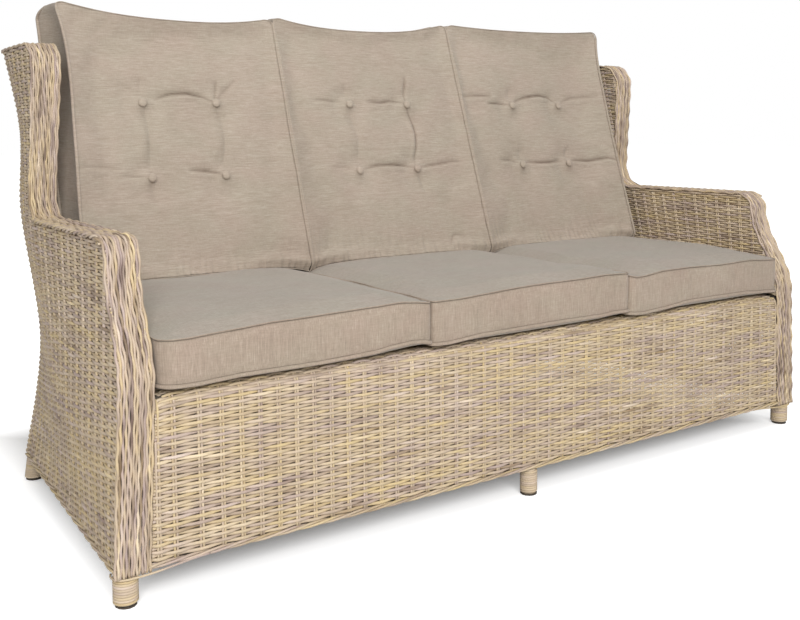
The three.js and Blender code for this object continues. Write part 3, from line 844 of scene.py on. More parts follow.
BAND_STRANDS, TOP_STRANDS = 14, 12
BAND_ROW, TOP_ROW = 400, 440
BAND_PERIOD = 48.0
BAND_SWAY = 0.9
BAND_LIFT = 1.5
BAND_RADIUS = 2.7
BAND_DEPTH = 4.0
BAND_SHIFT = 0.8
BAND_SLIDE, BAND_WOBBLE = 0.45, 0.09
BAND_MARGIN = 0.4
TOP_OVERLAP = 6


def lattice(strands, points_at, run, count, row, lean=1):
    """Long strands side by side that rise in turn, and cross a little to one side on top."""
    for i in range(count):
        slide = rng.normal(0, BAND_SLIDE)
        turn = 2 * np.pi * run / BAND_PERIOD + BAND_SHIFT * np.pi * i + slide
        turn = turn + np.cumsum(wobble(len(run), BAND_WOBBLE, 9))
        points, outward = points_at((i + 0.5) / count, lean * BAND_SWAY * np.cos(turn))
        points = points + outward * (BAND_LIFT * np.sin(turn) - BAND_DEPTH)[:, None]
        strands.add(points, outward, BAND_RADIUS, row + i)


def side_band(side):
    outline, outward, run = side_outline(BAND_PERIOD / 8)

    def points_at(share, sway):
        y, z = outline.T
        low, high = inner_half(z) + BAND_MARGIN, side_half(y, z) - BAND_MARGIN
        points = np.stack([side * (lerp(low, high, share) + sway), y, z], -1)
        return points, np.stack([0 * y, outward[:, 0], outward[:, 1]], -1)

    strands = Strands(SEEDS["side_band"] + side)
    lattice(strands, points_at, run, BAND_STRANDS, BAND_ROW, side)
    return strands


def top_band():
    reach = inner_half(BACK_HEIGHT) + TOP_OVERLAP
    run = np.arange(-reach, reach, BAND_PERIOD / 6)
    low, high = back_face(BACK_HEIGHT), REAR_TOP

    def points_at(share, sway):
        y = lerp(low, high, share) + sway
        points = np.stack([run, y, np.full(len(run), float(BACK_HEIGHT))], -1)
        return points, np.broadcast_to([0, 0, 1.0], points.shape)

    strands = Strands(SEEDS["top_band"])
    lattice(strands, points_at, run, TOP_STRANDS, TOP_ROW)
    return strands


for word, side in SIDES:
    name = f"{word}_side_band_strands"
    strand_piece(name, side_band(side), band_material, [f"{word}_side_band"])
strand_piece("back_top_strands", top_band(), weave_material, ["back_top_band"])

# Ropes and feet

UPRIGHT = [0, 0, 1]


def rope(strands, centre, row, plies, turn_radius, radius, lay_length):
    """Twisted strands round a centre line."""
    centre, run = resample(centre, lay_length / 12)
    ahead = unit(np.gradient(centre, axis=0))
    across = unit(np.cross(ahead, np.broadcast_to(UPRIGHT, centre.shape)))
    out = np.cross(across, ahead)
    for i in range(plies):
        turn = 2 * np.pi * (run / lay_length + i / plies)
        offset = np.cos(turn)[:, None] * across + np.sin(turn)[:, None] * out
        strands.add(centre + turn_radius * offset, offset, radius, row + i)


HEM_Z = 67.5
HEM_IN = 4
HEM_OVERLAP, HEM_FRONT_Y = 6, 4.2
HEM_ROPE = {"plies": 3, "turn_radius": 3.1, "radius": 2.7, "lay_length": 150}
ARM_ROPE = {"plies": 2, "turn_radius": 2.5, "radius": 2.5, "lay_length": 46}
HEM_ROW, ARM_ROW, SWEEP_ROW = 500, 530, 540
ARM_EDGE_DROP, NOSE_DROP = 4.5, 9
EDGE_BEFORE, EDGE_BEYOND, EDGE_OUT = 30, 20, 0.2
SWEEP_FROM, SWEEP_TO = 20, 150
SWEEP_Z, SWEEP_RISE = 55.5, 10
SWEEP_RADIUS, SWEEP_AWAY = 2.1, 2.6


def hem_line():
    """The hem's centre lines: front, both sides, and round the back."""
    x = np.linspace(-1, 1, 60) * (inner_half(HEM_Z) + HEM_OVERLAP)
    lines = [np.stack([x, 0 * x + HEM_FRONT_Y, 0 * x + HEM_Z], 1)]
    rear = rear_face(HEM_Z) - POST_INSET
    y = np.linspace(10, rear, 40)
    for side in (-1, 1):
        lines.append(np.stack([side * (side_half(y, HEM_Z) - HEM_IN), y, 0 * y + HEM_Z], 1))
    turn = np.linspace(math.pi / 2, 0, 12)
    reach, radius = rear_half(HEM_Z) - POST_INSET, POST_INSET - HEM_IN
    quarter = np.stack([reach + radius * np.sin(turn), rear + radius * np.cos(turn)], 1)
    ring = np.concatenate([quarter, (quarter * [-1, 1])[::-1]])
    lines.append(np.column_stack([ring, np.full(len(ring), HEM_Z)]))
    return lines


def arm_edge(side):
    """The line along the outer top edge of an arm."""
    y = np.linspace(NOSE_Y - EDGE_BEFORE, ARM_TO + EDGE_BEYOND, 60)
    drop = NOSE_DROP * smoothstep(-y, -NOSE_Y, -NOSE_Y + EDGE_BEFORE)
    z = ARM_HEIGHT - ARM_EDGE_DROP - drop
    return np.stack([side * (side_half(y, z) + EDGE_OUT), y, z], 1)


def foot_sweep(side):
    """A strand that leaves the hem and goes round the front of a foot's top."""
    centre = side * (side_half(POST_INSET, FOOT_HEIGHT) - POST_SIDE_INSET)
    turn = np.radians(np.linspace(35, -90, 20))
    radius = WRAP_RADIUS + SWEEP_AWAY
    bend = np.stack([centre + side * radius * np.cos(turn), POST_INSET + radius * np.sin(turn)], 1)
    away = np.linspace(12, SWEEP_TO, 20)
    straight = np.stack([centre - side * away, POST_INSET - radius + 0 * away], 1)
    plan = np.concatenate([bend, straight])
    climb = smoothstep(np.abs(plan[:, 0] - centre), SWEEP_FROM, SWEEP_TO)
    z = SWEEP_Z + SWEEP_RISE * climb * (np.arange(len(plan)) >= len(bend))
    return np.column_stack([plan, z])


hem = Strands(SEEDS["ropes"])
for i, line in enumerate(hem_line()):
    rope(hem, line, HEM_ROW + 4 * i, **HEM_ROPE)
for side in (-1, 1):
    rope(hem, arm_edge(side), ARM_ROW + side * 4, **ARM_ROPE)
    hem.add(resample(foot_sweep(side), 6)[0], UPRIGHT, SWEEP_RADIUS, SWEEP_ROW + side)
strand_piece("hem_and_arm_ropes", hem, weave_material)

WRAP_PITCH = 4.9
WRAP_FLATNESS = 0.72
TURN_STEPS = 20
WRAP_ROW, CORE_ROW = 600, 640
LEG_BOTTOM = 3.8
FRONT_WRAP_TOP, WRAP_TOP = 57.7, 59.7
CENTRE_RADIUS, REAR_FOOT_LEVEL = 20, 74


def wound_foot(node, centre_at, high, radius, seed, core=False):
    """Strand wound round a foot, with a core where the foot's own solid is hidden."""
    strands = Strands(seed, ROUNDER)
    half = WRAP_PITCH / 2
    turns = (high - LEG_BOTTOM - 2 * half) / WRAP_PITCH
    turn = np.linspace(0, 2 * np.pi * turns, int(turns * TURN_STEPS))
    z = LEG_BOTTOM + half + WRAP_PITCH * turn / (2 * np.pi)
    centre = np.array([centre_at(v) for v in z])
    out = np.stack([np.cos(turn), np.sin(turn), 0 * turn], 1)
    thick = half * WRAP_FLATNESS
    line = centre + (radius - thick) * out
    strands.add(line, out, half * 0.99, WRAP_ROW, flat=WRAP_FLATNESS)
    if core:
        z = np.linspace(LEG_BOTTOM, high, 4)
        line = np.array([centre_at(v) for v in z])
        strands.add(line, [1, 0, 0], radius - half - 0.5, CORE_ROW)
    strand_piece(f"{node}_strand", strands, cane_material, [node])


def front_foot(side):
    def at(z):
        half = side_half(POST_INSET, max(z, FOOT_HEIGHT)) - POST_SIDE_INSET
        return side * half, POST_INSET, z

    return at


def rear_foot(side):
    def at(z):
        return side * (rear_half(z) - POST_INSET), rear_face(z) - POST_INSET, z

    return at


def centre_foot(y):
    def at(z):
        return 0, y, z

    return at


for word, side in SIDES:
    front, rear = f"front_{word}_foot_wrap", f"rear_{word}_foot_wrap"
    seed = SEEDS["front_foot"] + side
    wound_foot(front, front_foot(side), FRONT_WRAP_TOP, WRAP_RADIUS, seed)
    seed = SEEDS["rear_foot"] + side
    wound_foot(rear, rear_foot(side), WRAP_TOP, WRAP_RADIUS, seed)
for word, y in (("front", RAIL_INSET), ("rear", float(rear_face(REAR_FOOT_LEVEL)) - POST_INSET)):
    name, seed = f"{word}_centre_foot", SEEDS["centre_foot"]
    wound_foot(name, centre_foot(y), WRAP_TOP, CENTRE_RADIUS, seed, core=True)

# Frame and glides


def metal_material():
    s = Shader("coated_tube")
    coords = s.place()
    cloud = s.noise(coords, 40.0, 4.0)
    grit = s.noise(coords, 1800.0)
    colour = s.ramp(cloud, stops((0.3, 88, 84, 79), (0.7, 112, 107, 101)))
    rough = s.math("MULTIPLY_ADD", cloud, 0.2, 0.35)
    bump = s.bump(0.2, 0.0002, grit)
    return s.finish(Base_Color=colour, Roughness=rough, Metallic=0.8, Normal=bump)


def rubber_material():
    s = Shader("glide_rubber")
    grit = s.noise(s.place(), 1500.0, 3.0)
    colour = s.ramp(grit, stops((0.3, 62, 54, 46), (0.7, 84, 74, 64)))
    return s.finish(Base_Color=colour, Roughness=0.75, Normal=s.bump(0.3, 0.0003, grit))


metal, rubber = metal_material(), rubber_material()
for name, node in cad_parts.items():
    tube = name.endswith(("tube", "rail", "post"))
    if tube or name.endswith("glide"):
        node.data.materials.clear()
        node.data.materials.append(metal if tube else rubber)
    if tube:
        node.data.polygons.foreach_set("use_smooth", np.ones(len(node.data.polygons), bool))

# Cushions

SWELL_FRAMES = 20
CLOTH_QUALITY, CLOTH_BENDING = 5, 0.6
SEAT_GRID, BACK_GRID = (76, 82), (92, 102)
BORDER_ROWS = 14
SEAM_WRAP = 5
SEAT_CORNER, SEAT_INNER_CORNER = 34, 12
BACK_CORNER, BACK_LOW_CORNER = 24, 9
DRIFT_WAVES, WAVE_SPREAD = 9, (0.7, 1.6)
SWELL_POWER = 0.6
GRID_TURN = 0.8


def drift(x, y, seed, size, height):
    """Smooth unevenness over a surface, with features of about one size."""
    local = np.random.default_rng(seed)
    total = np.zeros(np.shape(x))
    for _ in range(DRIFT_WAVES):
        turn = local.uniform(0, np.pi)
        wave = 2 * np.pi / (size * local.uniform(*WAVE_SPREAD))
        total += np.sin(wave * (x * math.cos(turn) + y * math.sin(turn)) + local.uniform(0, 6.3))
    return height * total / 3


def swell(u, v):
    return (np.maximum(1 - u**4, 0) * np.maximum(1 - v**4, 0)) ** SWELL_POWER


def press(u, v):
    return np.minimum(1, 1.3 * (np.maximum(1 - u * u, 0) * np.maximum(1 - v * v, 0)) ** 0.3)


def on_arcs(a, b, half_a, half_b, radius):
    """Pulls the square corners of a plan onto arcs."""
    core_a, core_b = half_a - radius, half_b - radius
    da, db = np.maximum(np.abs(a) - core_a, 0), np.maximum(np.abs(b) - core_b, 0)
    both = (da > 0) & (db > 0)
    shrink = np.where(both, np.maximum(da, db) / np.maximum(np.hypot(da, db), 1e-6), 1)
    a = np.where(both, np.sign(a) * (core_a + da * shrink), a)
    b = np.where(both, np.sign(b) * (core_b + db * shrink), b)
    return a, b


class Pad:
    """A cushion cover: two panels on one grid and a border between their edges.

    A point is a across, b along and c through the cushion, from the middle of its rear face.
    """

    def __init__(self, grid_size, plan, near, far, bulge):
        count_u, count_v = grid_size
        us, vs = [np.sin(np.linspace(-1, 1, n) * GRID_TURN) for n in grid_size]
        u, v = np.meshgrid(us / math.sin(GRID_TURN), vs / math.sin(GRID_TURN))
        a, b = plan(u, v)
        self.up_share = v.ravel()
        grid = np.arange(count_u * count_v).reshape(count_v, count_u)
        self.size = grid.size
        loop = np.concatenate([grid[0, :-1], grid[:-1, -1], grid[-1, :0:-1], grid[:0:-1, 0]])
        panels = (near(a, b, u, v), far(a, b, u, v))
        verts = [np.stack([a, b, c], -1).reshape(-1, 3) for c in panels]
        upper, lower = verts[0][loop], verts[1][loop]
        ahead = np.roll(upper, -1, 0) - np.roll(upper, 1, 0)
        self.out = unit(np.stack([ahead[:, 1], -ahead[:, 0], 0 * ahead[:, 0]], 1))
        self.rings = [loop]
        for i in range(1, BORDER_ROWS):
            t = i / BORDER_ROWS
            verts.append(lerp(upper, lower, t) + self.out * bulge * 4 * t * (1 - t))
            self.rings.append(2 * self.size + (i - 1) * len(loop) + np.arange(len(loop)))
        self.rings.append(loop + self.size)
        self.points = np.concatenate(verts)
        quad = np.stack([grid[:-1, :-1], grid[:-1, 1:], grid[1:, 1:], grid[1:, :-1]], -1)
        quad = quad.reshape(-1, 4)
        faces = [quad, quad[:, ::-1] + self.size]
        for high, low in zip(self.rings, self.rings[1:]):
            faces.append(np.stack([high, low, np.roll(low, -1), np.roll(high, -1)], -1))
        self.faces = np.concatenate(faces)
        self.kinds = np.repeat([0, 1], [2 * len(quad), len(self.faces) - 2 * len(quad)])

    def mesh(self, name, place, turned):
        faces = self.faces[:, ::-1] if turned else self.faces
        mesh = raw_mesh(name, to_frame(place(self.points)), [(faces, 4)])
        mesh.polygons.foreach_set("material_index", self.kinds.astype(np.int32))
        return mesh


def start_cloth(mesh, held, pressure, slack):
    """A trial cover that swells as cloth, held where its weights say so."""
    trial = placed(f"{mesh.name}_trial", mesh)
    group = trial.vertex_groups.new(name="held")
    for weight in np.unique(held[held > 0]):
        group.add(np.flatnonzero(held == weight).tolist(), float(weight), "REPLACE")
    cloth = trial.modifiers.new("cloth", "CLOTH")
    cloth.point_cache.frame_start = 1
    cloth.point_cache.frame_end = SWELL_FRAMES
    settings = cloth.settings
    settings.quality = CLOTH_QUALITY
    settings.vertex_group_mass = "held"
    settings.use_pressure = True
    settings.uniform_pressure_force = pressure
    settings.shrink_min = -slack
    settings.bending_stiffness = CLOTH_BENDING
    settings.effector_weights.gravity = 0
    cloth.collision_settings.use_collision = False
    return trial


def run_cloth(trials):
    """Steps all trial covers together and returns where their points end up, in metres."""
    last = SWELL_FRAMES
    for f in range(1, last + 1):
        bpy.context.scene.frame_set(f)
    graph = bpy.context.evaluated_depsgraph_get()
    ends = []
    for trial in trials:
        cover = trial.evaluated_get(graph).to_mesh()
        ends.append(points_of(cover))
        trial.evaluated_get(graph).to_mesh_clear()
        bpy.data.objects.remove(trial)
    bpy.context.scene.frame_set(1)
    return ends


def points_of(mesh):
    co = np.empty(len(mesh.vertices) * 3, np.float32)
    mesh.vertices.foreach_get("co", co)
    return co.reshape(-1, 3).astype(float)


def set_points(mesh, points):
    mesh.vertices.foreach_set("co", points.astype(np.float32).ravel())
    mesh.update()


def capped(start, end, reach):
    """End points moved back so that none is further than reach, in metres, from its start."""
    move = end - start
    length = np.linalg.norm(move, axis=1, keepdims=True)
    return start + move * np.minimum(1, reach / np.maximum(length, 1e-9))


def evened(mesh, start, end, held):
    """The end shape with each point's move evened out with its neighbours' moves."""
    edges = np.empty(2 * len(mesh.edges), np.int32)
    mesh.edges.foreach_get("vertices", edges)
    one, other = edges.reshape(-1, 2).T
    count = np.bincount(edges, minlength=len(start))[:, None]
    moved = end - start
    for _ in range(EVENING_ROUNDS):
        around = np.zeros_like(moved)
        np.add.at(around, one, moved[other])
        np.add.at(around, other, moved[one])
        moved = np.where(held[:, None] < 1, (moved + around / count) / 2, 0)
    return start + moved


def subdivided(mesh, name):
    """The mesh after one smooth subdivision."""
    trial = placed(name, mesh)
    modifier = trial.modifiers.new("smooth", "SUBSURF")
    modifier.levels = 1
    graph = bpy.context.evaluated_depsgraph_get()
    made = bpy.data.meshes.new_from_object(trial.evaluated_get(graph))
    made.name = name
    bpy.data.objects.remove(trial)
    return made


def along_line(a, b, line):
    """Signed distance to a line of points, and the share of the way along it."""
    line, _ = resample(np.array(line, float), 12)
    best = np.full(len(a), 1e9)
    signed, share = np.zeros(len(a)), np.zeros(len(a))
    count = len(line) - 1
    for i in range(count):
        start, step = line[i], line[i + 1] - line[i]
        t = np.clip(((a - start[0]) * step[0] + (b - start[1]) * step[1]) / step.dot(step), 0, 1)
        da, db = a - start[0] - t * step[0], b - start[1] - t * step[1]
        distance = np.hypot(da, db)
        nearer = distance < best
        best = np.where(nearer, distance, best)
        turn = np.sign(step[0] * db - step[1] * da)
        signed = np.where(nearer, turn * distance, signed)
        share = np.where(nearer, (i + t) / count, share)
    return signed, share


# Across and up from the middle of a back cushion
BUTTON_X = 92.5
BUTTON_LOW, BUTTON_HIGH = -88.75, 84.25
# Folds on the back cushions: depth before the gain, width, then points across and up
FOLDS = {
    "left": [
        (7, 5, [(-60, 90), (-22, 104), (20, 107), (61, 99), (86, 88)]),
        (4, 6, [(93, 92), (101, 117), (103, 138)]),
        (3, 6, [(97, 90), (128, 117), (154, 140)]),
        (3, 12, [(-98, 92), (-120, 108), (-144, 134)]),
        (4, 14, [(-92, 96), (-90, 140)]),
        (6, 11, [(-90, 74), (-82, 45), (-82, 7), (-86, -43), (-91, -80)]),
        (5, 13, [(94, 72), (106, 46), (108, 0), (100, -40), (92, -80)]),
        (2.5, 6, [(-272, -58), (-224, -61), (-184, -64), (-150, -66)]),
        (3, 7, [(-162, -84), (-104, -87)]),
        (6, 5, [(2, -76), (43, -78), (82, -85)]),
        (3, 9, [(-91, -100), (-87, -150)]),
    ],
    "middle": [
        (4, 5, [(-207, 95), (-168, 94), (-104, 88)]),
        (6, 5, [(-34, 90), (12, 88), (45, 93), (84, 89)]),
        (5, 5, [(92, 92), (98, 117), (106, 160)]),
        (3, 12, [(-94, 94), (-97, 130)]),
        (6, 6, [(93, 74), (107, 38), (111, 6), (106, -33), (93, -78)]),
        (4, 13, [(-92, 74), (-85, 33), (-78, -5), (-84, -49), (-92, -78)]),
        (7, 5, [(-66, -86), (-27, -78), (19, -78), (66, -83), (84, -86)]),
        (5, 5, [(110, -86), (160, -82), (208, -75), (250, -74)]),
        (4, 8, [(96, -98), (107, -128), (114, -155)]),
        (3, 8, [(-166, -82), (-104, -85)]),
        (3, 7, [(158, -296), (180, -272), (217, -276)]),
    ],
    "right": [
        (5, 5, [(-272, 107), (-231, 111), (-160, 111)]),
        (6, 5, [(-184, 90), (-140, 88), (-102, 86)]),
        (7, 5, [(-78, 92), (-36, 107), (24, 114), (66, 108), (87, 92)]),
        (4, 6, [(103, 90), (158, 108), (240, 113)]),
        (4, 12, [(-88, 132), (-92, 94)]),
        (4, 5, [(-178, -74), (-130, -76), (-102, -84)]),
        (4, 10, [(-87, -48), (-92, -80)]),
        (7, 5, [(-72, -83), (-12, -86), (72, -84)]),
        (7, 5, [(108, -82), (185, -86), (241, -77), (275, -84)]),
        (4, 9, [(103, -45), (93, -80)]),
        (3, 8, [(-266, 78), (-215, 64)]),
    ],
}

# Places and sizes of the cushions, as in the solids
SEAT_THICKNESS, SEAT_CROWN = 106, 15
SEAT_TOP = DECK_TOP + SEAT_THICKNESS + SEAT_CROWN
SEAT_FRONT = -11
SEAT_REST = DECK_TOP + JOINT_GAP
SEAT_LENGTH = back_face(SEAT_REST) - JOINT_GAP - SEAT_FRONT
SEAT_SIDE_GAP, BACK_SIDE_GAP, BETWEEN = 1, 7, 1
SEAT_WIDTH = (2 * (inner_half(SEAT_TOP) - SEAT_SIDE_GAP) - 2 * BETWEEN) / 3
BACK_LOW = SEAT_TOP + 0.5
RISE_OVER_BACK = 102
CUSHION_HEIGHT = BACK_HEIGHT + RISE_OVER_BACK - BACK_LOW
CUSHION_WIDTH = (2 * (inner_half(BACK_HEIGHT) - BACK_SIDE_GAP) - 2 * BETWEEN) / 3
COVER_INSET = 1
COVER_REACH = 0.8

# Seat cushions: usual edge heights, drop to the panel below, swell, cloth, and travel in metres
UPPER_EDGE, LOWER_EDGE = DECK_TOP + 104, DECK_TOP + 16
PIPING_DROP = 6.5
SEAT_SWELL, SEAT_BULGE, FRONT_BULGE = 11, 1, 2
SEAT_UNEVEN, SEAT_SEED = (220, 1.2), 30
# Shares of the way to the front between which the edges take up the front seams' height
SEAM_BLEND = (0.35, 0.95)
SEAT_PRESSURE, SEAT_SLACK, SEAM_HOLD = 3.0, 0.006, 0.9
SEAT_TRAVEL = 0.009
# Their piping and the dark strands that paint shade into the seams: which seam, how far out and up
# from it, and the radius
UPPER_SEAM, LOWER_SEAM = 0, 1
SEAT_PIPING = [(LOWER_SEAM, 0.6, 1.5, 4.0), (UPPER_SEAM, -0.2, 0.8, 1.2)]
SEAT_SEAM_SHADES = [(LOWER_SEAM, 1.2, 5.2, 0.9), (UPPER_SEAM, 0.8, -1.1, 0.6)]

# Back cushions: seam behind, fill in front, tufts, piping, cloth, and travel in metres
BACK_SEAM_IN, BACK_FILL = 50, 178
TOP_SEAM_FORWARD = 45
TUFT_DEPTH, TUFT_REACH, TUFT_FALL, TUFT_CALM = 24, 70, 3, 2
BACK_BULGE, REAR_GAP, SAG_POWER = 2, 1.2, 2.4
BACK_UNEVEN, BACK_SEED = (240, 1.5), 50
BUTTON_HOLD = 8
BACK_PIPING, CORNER_PIPING = 3.8, 1.2
BACK_PRESSURE, BACK_SLACK = 4.0, 0.02
BACK_TRAVEL = 0.026
EVENING_ROUNDS = 10
# How far the lower corners sink between the seat cushions, and the lower front seam draws back
SEAT_FALL, SEAM_TUCK = 20, 20
# How far each side edge is drawn in at half height
EDGE_IN = 2.2
# The outer front edges are drawn in by up to two thirds of this
SIDE_PINCH = 28
# Puckers at the lower and the side seams: depth, size along the seam, and how far in they fade
PUCKER_DEPTH, PUCKER_SIZE, PUCKER_FADE = 3.0, 26, 45
SIDE_PUCKER_DEPTH, SIDE_PUCKER_SIZE, SIDE_PUCKER_FADE = 0.9, 34, 30
PUCKER_STRETCH, PUCKER_FROM, PUCKER_SEED, SIDE_PUCKER_SEED = 0.25, 60, 80, 90
# Distance from the rear face over which the pinch and the folds set in
PINCH_SPAN, FOLD_SPAN = (50, 165), (120, 150)
# Folds: their gain, the raised lip beside each, and the painted shade along the crease of the
# narrow ones
FOLD_GAIN = 1.5
LIP_PLACE, LIP_WIDTH, LIP_SHARE = 1.6, 1.3, 0.35
CREASE_WIDTH, CREASE_FULL, SHARP_BELOW = 2.6, 8, 8
# How far in front of the woven back each front seam lies: left and right, below and then on top
SEAM_DEPTH = {
    "left": [(178, 174), (180, 150)],
    "middle": [(174, 183), (150, 142)],
    "right": [(183, 186), (144, 188)],
}
BUTTONS = [(x, z) for z in (BUTTON_LOW, BUTTON_HIGH) for x in (-BUTTON_X, BUTTON_X)]
TOP_SAG = {"left": 26, "middle": 31, "right": 11}
# How far the back cushions' upper corners have sunk, the left one first
TOP_DROP = {"left": (1, 12), "middle": (5, -3), "right": (-3, -4)}
# Heights of the seat cushions' front seams, as across from the middle of the seat and height
TOP_SEAMS = {
    "left": [
        (-881, 465), (-824, 465), (-785, 468), (-725, 472), (-662, 477),
        (-561, 478), (-432, 479), (-371, 482), (-333, 479), (-299, 475),
    ],
    "middle": [
        (-289, 474), (-222, 474), (-151, 477), (-76, 480),
        (26, 483), (134, 484), (214, 486), (281, 484),
    ],
    "right": [
        (286, 477), (317, 471), (343, 472), (407, 479),
        (516, 479), (678, 475), (758, 477), (874, 469),
    ],
}
LOW_SEAMS = {
    "left": [
        (-882, 389), (-808, 388), (-728, 392), (-561, 391), (-493, 393),
        (-433, 395), (-397, 400), (-346, 403), (-316, 401), (-300, 396),
    ],
    "middle": [
        (-284, 391), (-252, 390), (-167, 396), (-52, 397),
        (71, 398), (192, 397), (239, 400), (272, 399),
    ],
    "right": [
        (297, 390), (335, 387), (427, 392), (499, 399), (582, 399), (730, 398), (860, 390),
    ],
}


class Cushion:
    """What all six cushions have in common."""

    def __init__(self, word, place_x, kind, width, height):
        self.word = word
        self.outward = place_x
        self.body = f"{word}_{kind}"
        self.node = f"{word}_{kind}_cushion"
        self.middle = place_x * (width + BETWEEN)
        self.half_a, self.half_b = width / 2 - COVER_INSET, height / 2 - COVER_INSET

    def start(self, pad, held, turned, pressure, slack):
        """Makes the cover and its trial, with the whole second panel held."""
        held[pad.size : 2 * pad.size] = 1
        self.pad, self.held = pad, held
        self.cover = pad.mesh(f"{self.node}_cover", self.place, turned)
        self.at_start = points_of(self.cover)
        self.trial = start_cloth(self.cover, held, pressure, slack)

    def kept_in(self, end):
        """The points, kept out of the neighbouring cushions' room."""
        middle, reach = self.middle * MM, (self.half_a + COVER_REACH) * MM
        end[:, 0] = np.clip(end[:, 0], middle - reach, middle + reach)
        return end

    def finer(self, end):
        """The cover at its end points, subdivided, and its two seams' points in millimetres."""
        set_points(self.cover, end)
        seams = [from_frame(end[ring]) for ring in (self.pad.rings[0], self.pad.rings[-1])]
        return subdivided(self.cover, f"{self.node}_cover_smooth"), seams

    def dress(self, mesh, materials, fill):
        for material in materials:
            mesh.materials.append(material)
        cover = piece(f"{self.node}_cover", mesh, None, self.body, [self.node])

    def sew(self, kind, strands, material):
        name = f"{self.node}_{kind}"
        strand_piece(name, strands, material, body=self.body)


class SeatCushion(Cushion):
    """A box cushion: crowned top, upright border, thick piping along its lower edge."""

    def __init__(self, word, place_x):
        super().__init__(word, place_x, "seat", SEAT_WIDTH, SEAT_LENGTH)
        seed = SEAT_SEED + place_x

        def plan(u, v):
            radius = np.where(u * place_x > 0, SEAT_CORNER, SEAT_INNER_CORNER)
            return on_arcs(u * self.half_a, v * self.half_b, self.half_a, self.half_b, radius)

        def front_seam(table, a, v, usual):
            """Height of an edge: the seam's at the front, the usual one behind."""
            across, height = np.array(table[word]).T
            seam = np.interp(self.middle + a, across, height)
            return lerp(usual, seam, smoothstep(-v, *SEAM_BLEND))

        def top(a, b, u, v):
            edge = front_seam(TOP_SEAMS, a, v, UPPER_EDGE)
            return edge + SEAT_SWELL * swell(u, v) + drift(a, b, seed, *SEAT_UNEVEN)

        def under(a, b, u, v):
            edge = front_seam(LOW_SEAMS, a, v, LOWER_EDGE) - PIPING_DROP
            return lerp(edge, SEAT_REST, press(u, v))

        pad = Pad(SEAT_GRID, plan, top, under, SEAT_BULGE)
        held = np.zeros(len(pad.points))
        held[pad.rings[0]] = SEAM_HOLD
        self.start(pad, held, False, SEAT_PRESSURE, SEAT_SLACK)

    def place(self, p):
        y = SEAT_FRONT + SEAT_LENGTH / 2 + p[:, 1]
        return np.stack([self.middle + p[:, 0], y, p[:, 2]], 1)

    def finish(self, end):
        end = self.kept_in(capped(self.at_start, end, SEAT_TRAVEL))
        end[:, 1] = np.maximum(end[:, 1], (SEAT_FRONT - FRONT_BULGE) * MM + FRONT_Y)
        mesh, seams = self.finer(end)
        self.dress(mesh, (top_fabric, border_fabric), fill=0.85)
        piping = Strands(SEEDS["seat_piping"], ROUNDER)
        threads = Strands(SEEDS["seat_seam_shade"])
        for i, (seam, out, rise, radius) in enumerate(SEAT_PIPING):
            line = seams[seam] + self.pad.out * out + [0, 0, rise]
            piping.add(line, UPRIGHT, radius, 1 + i, closed=True)
        front = np.arange(-SEAM_WRAP, SEAT_GRID[0] + SEAM_WRAP)
        # Dark strands in the seams: painted shade where the seams' grooves lie
        for i, (seam, out, rise, radius) in enumerate(SEAT_SEAM_SHADES):
            line = seams[seam] + self.pad.out * out + [0, 0, rise]
            threads.add(line[front], UPRIGHT, radius, 3 + i)
        self.sew("piping", piping, border_fabric)
        self.sew("seam", threads, seam_shade_strand)


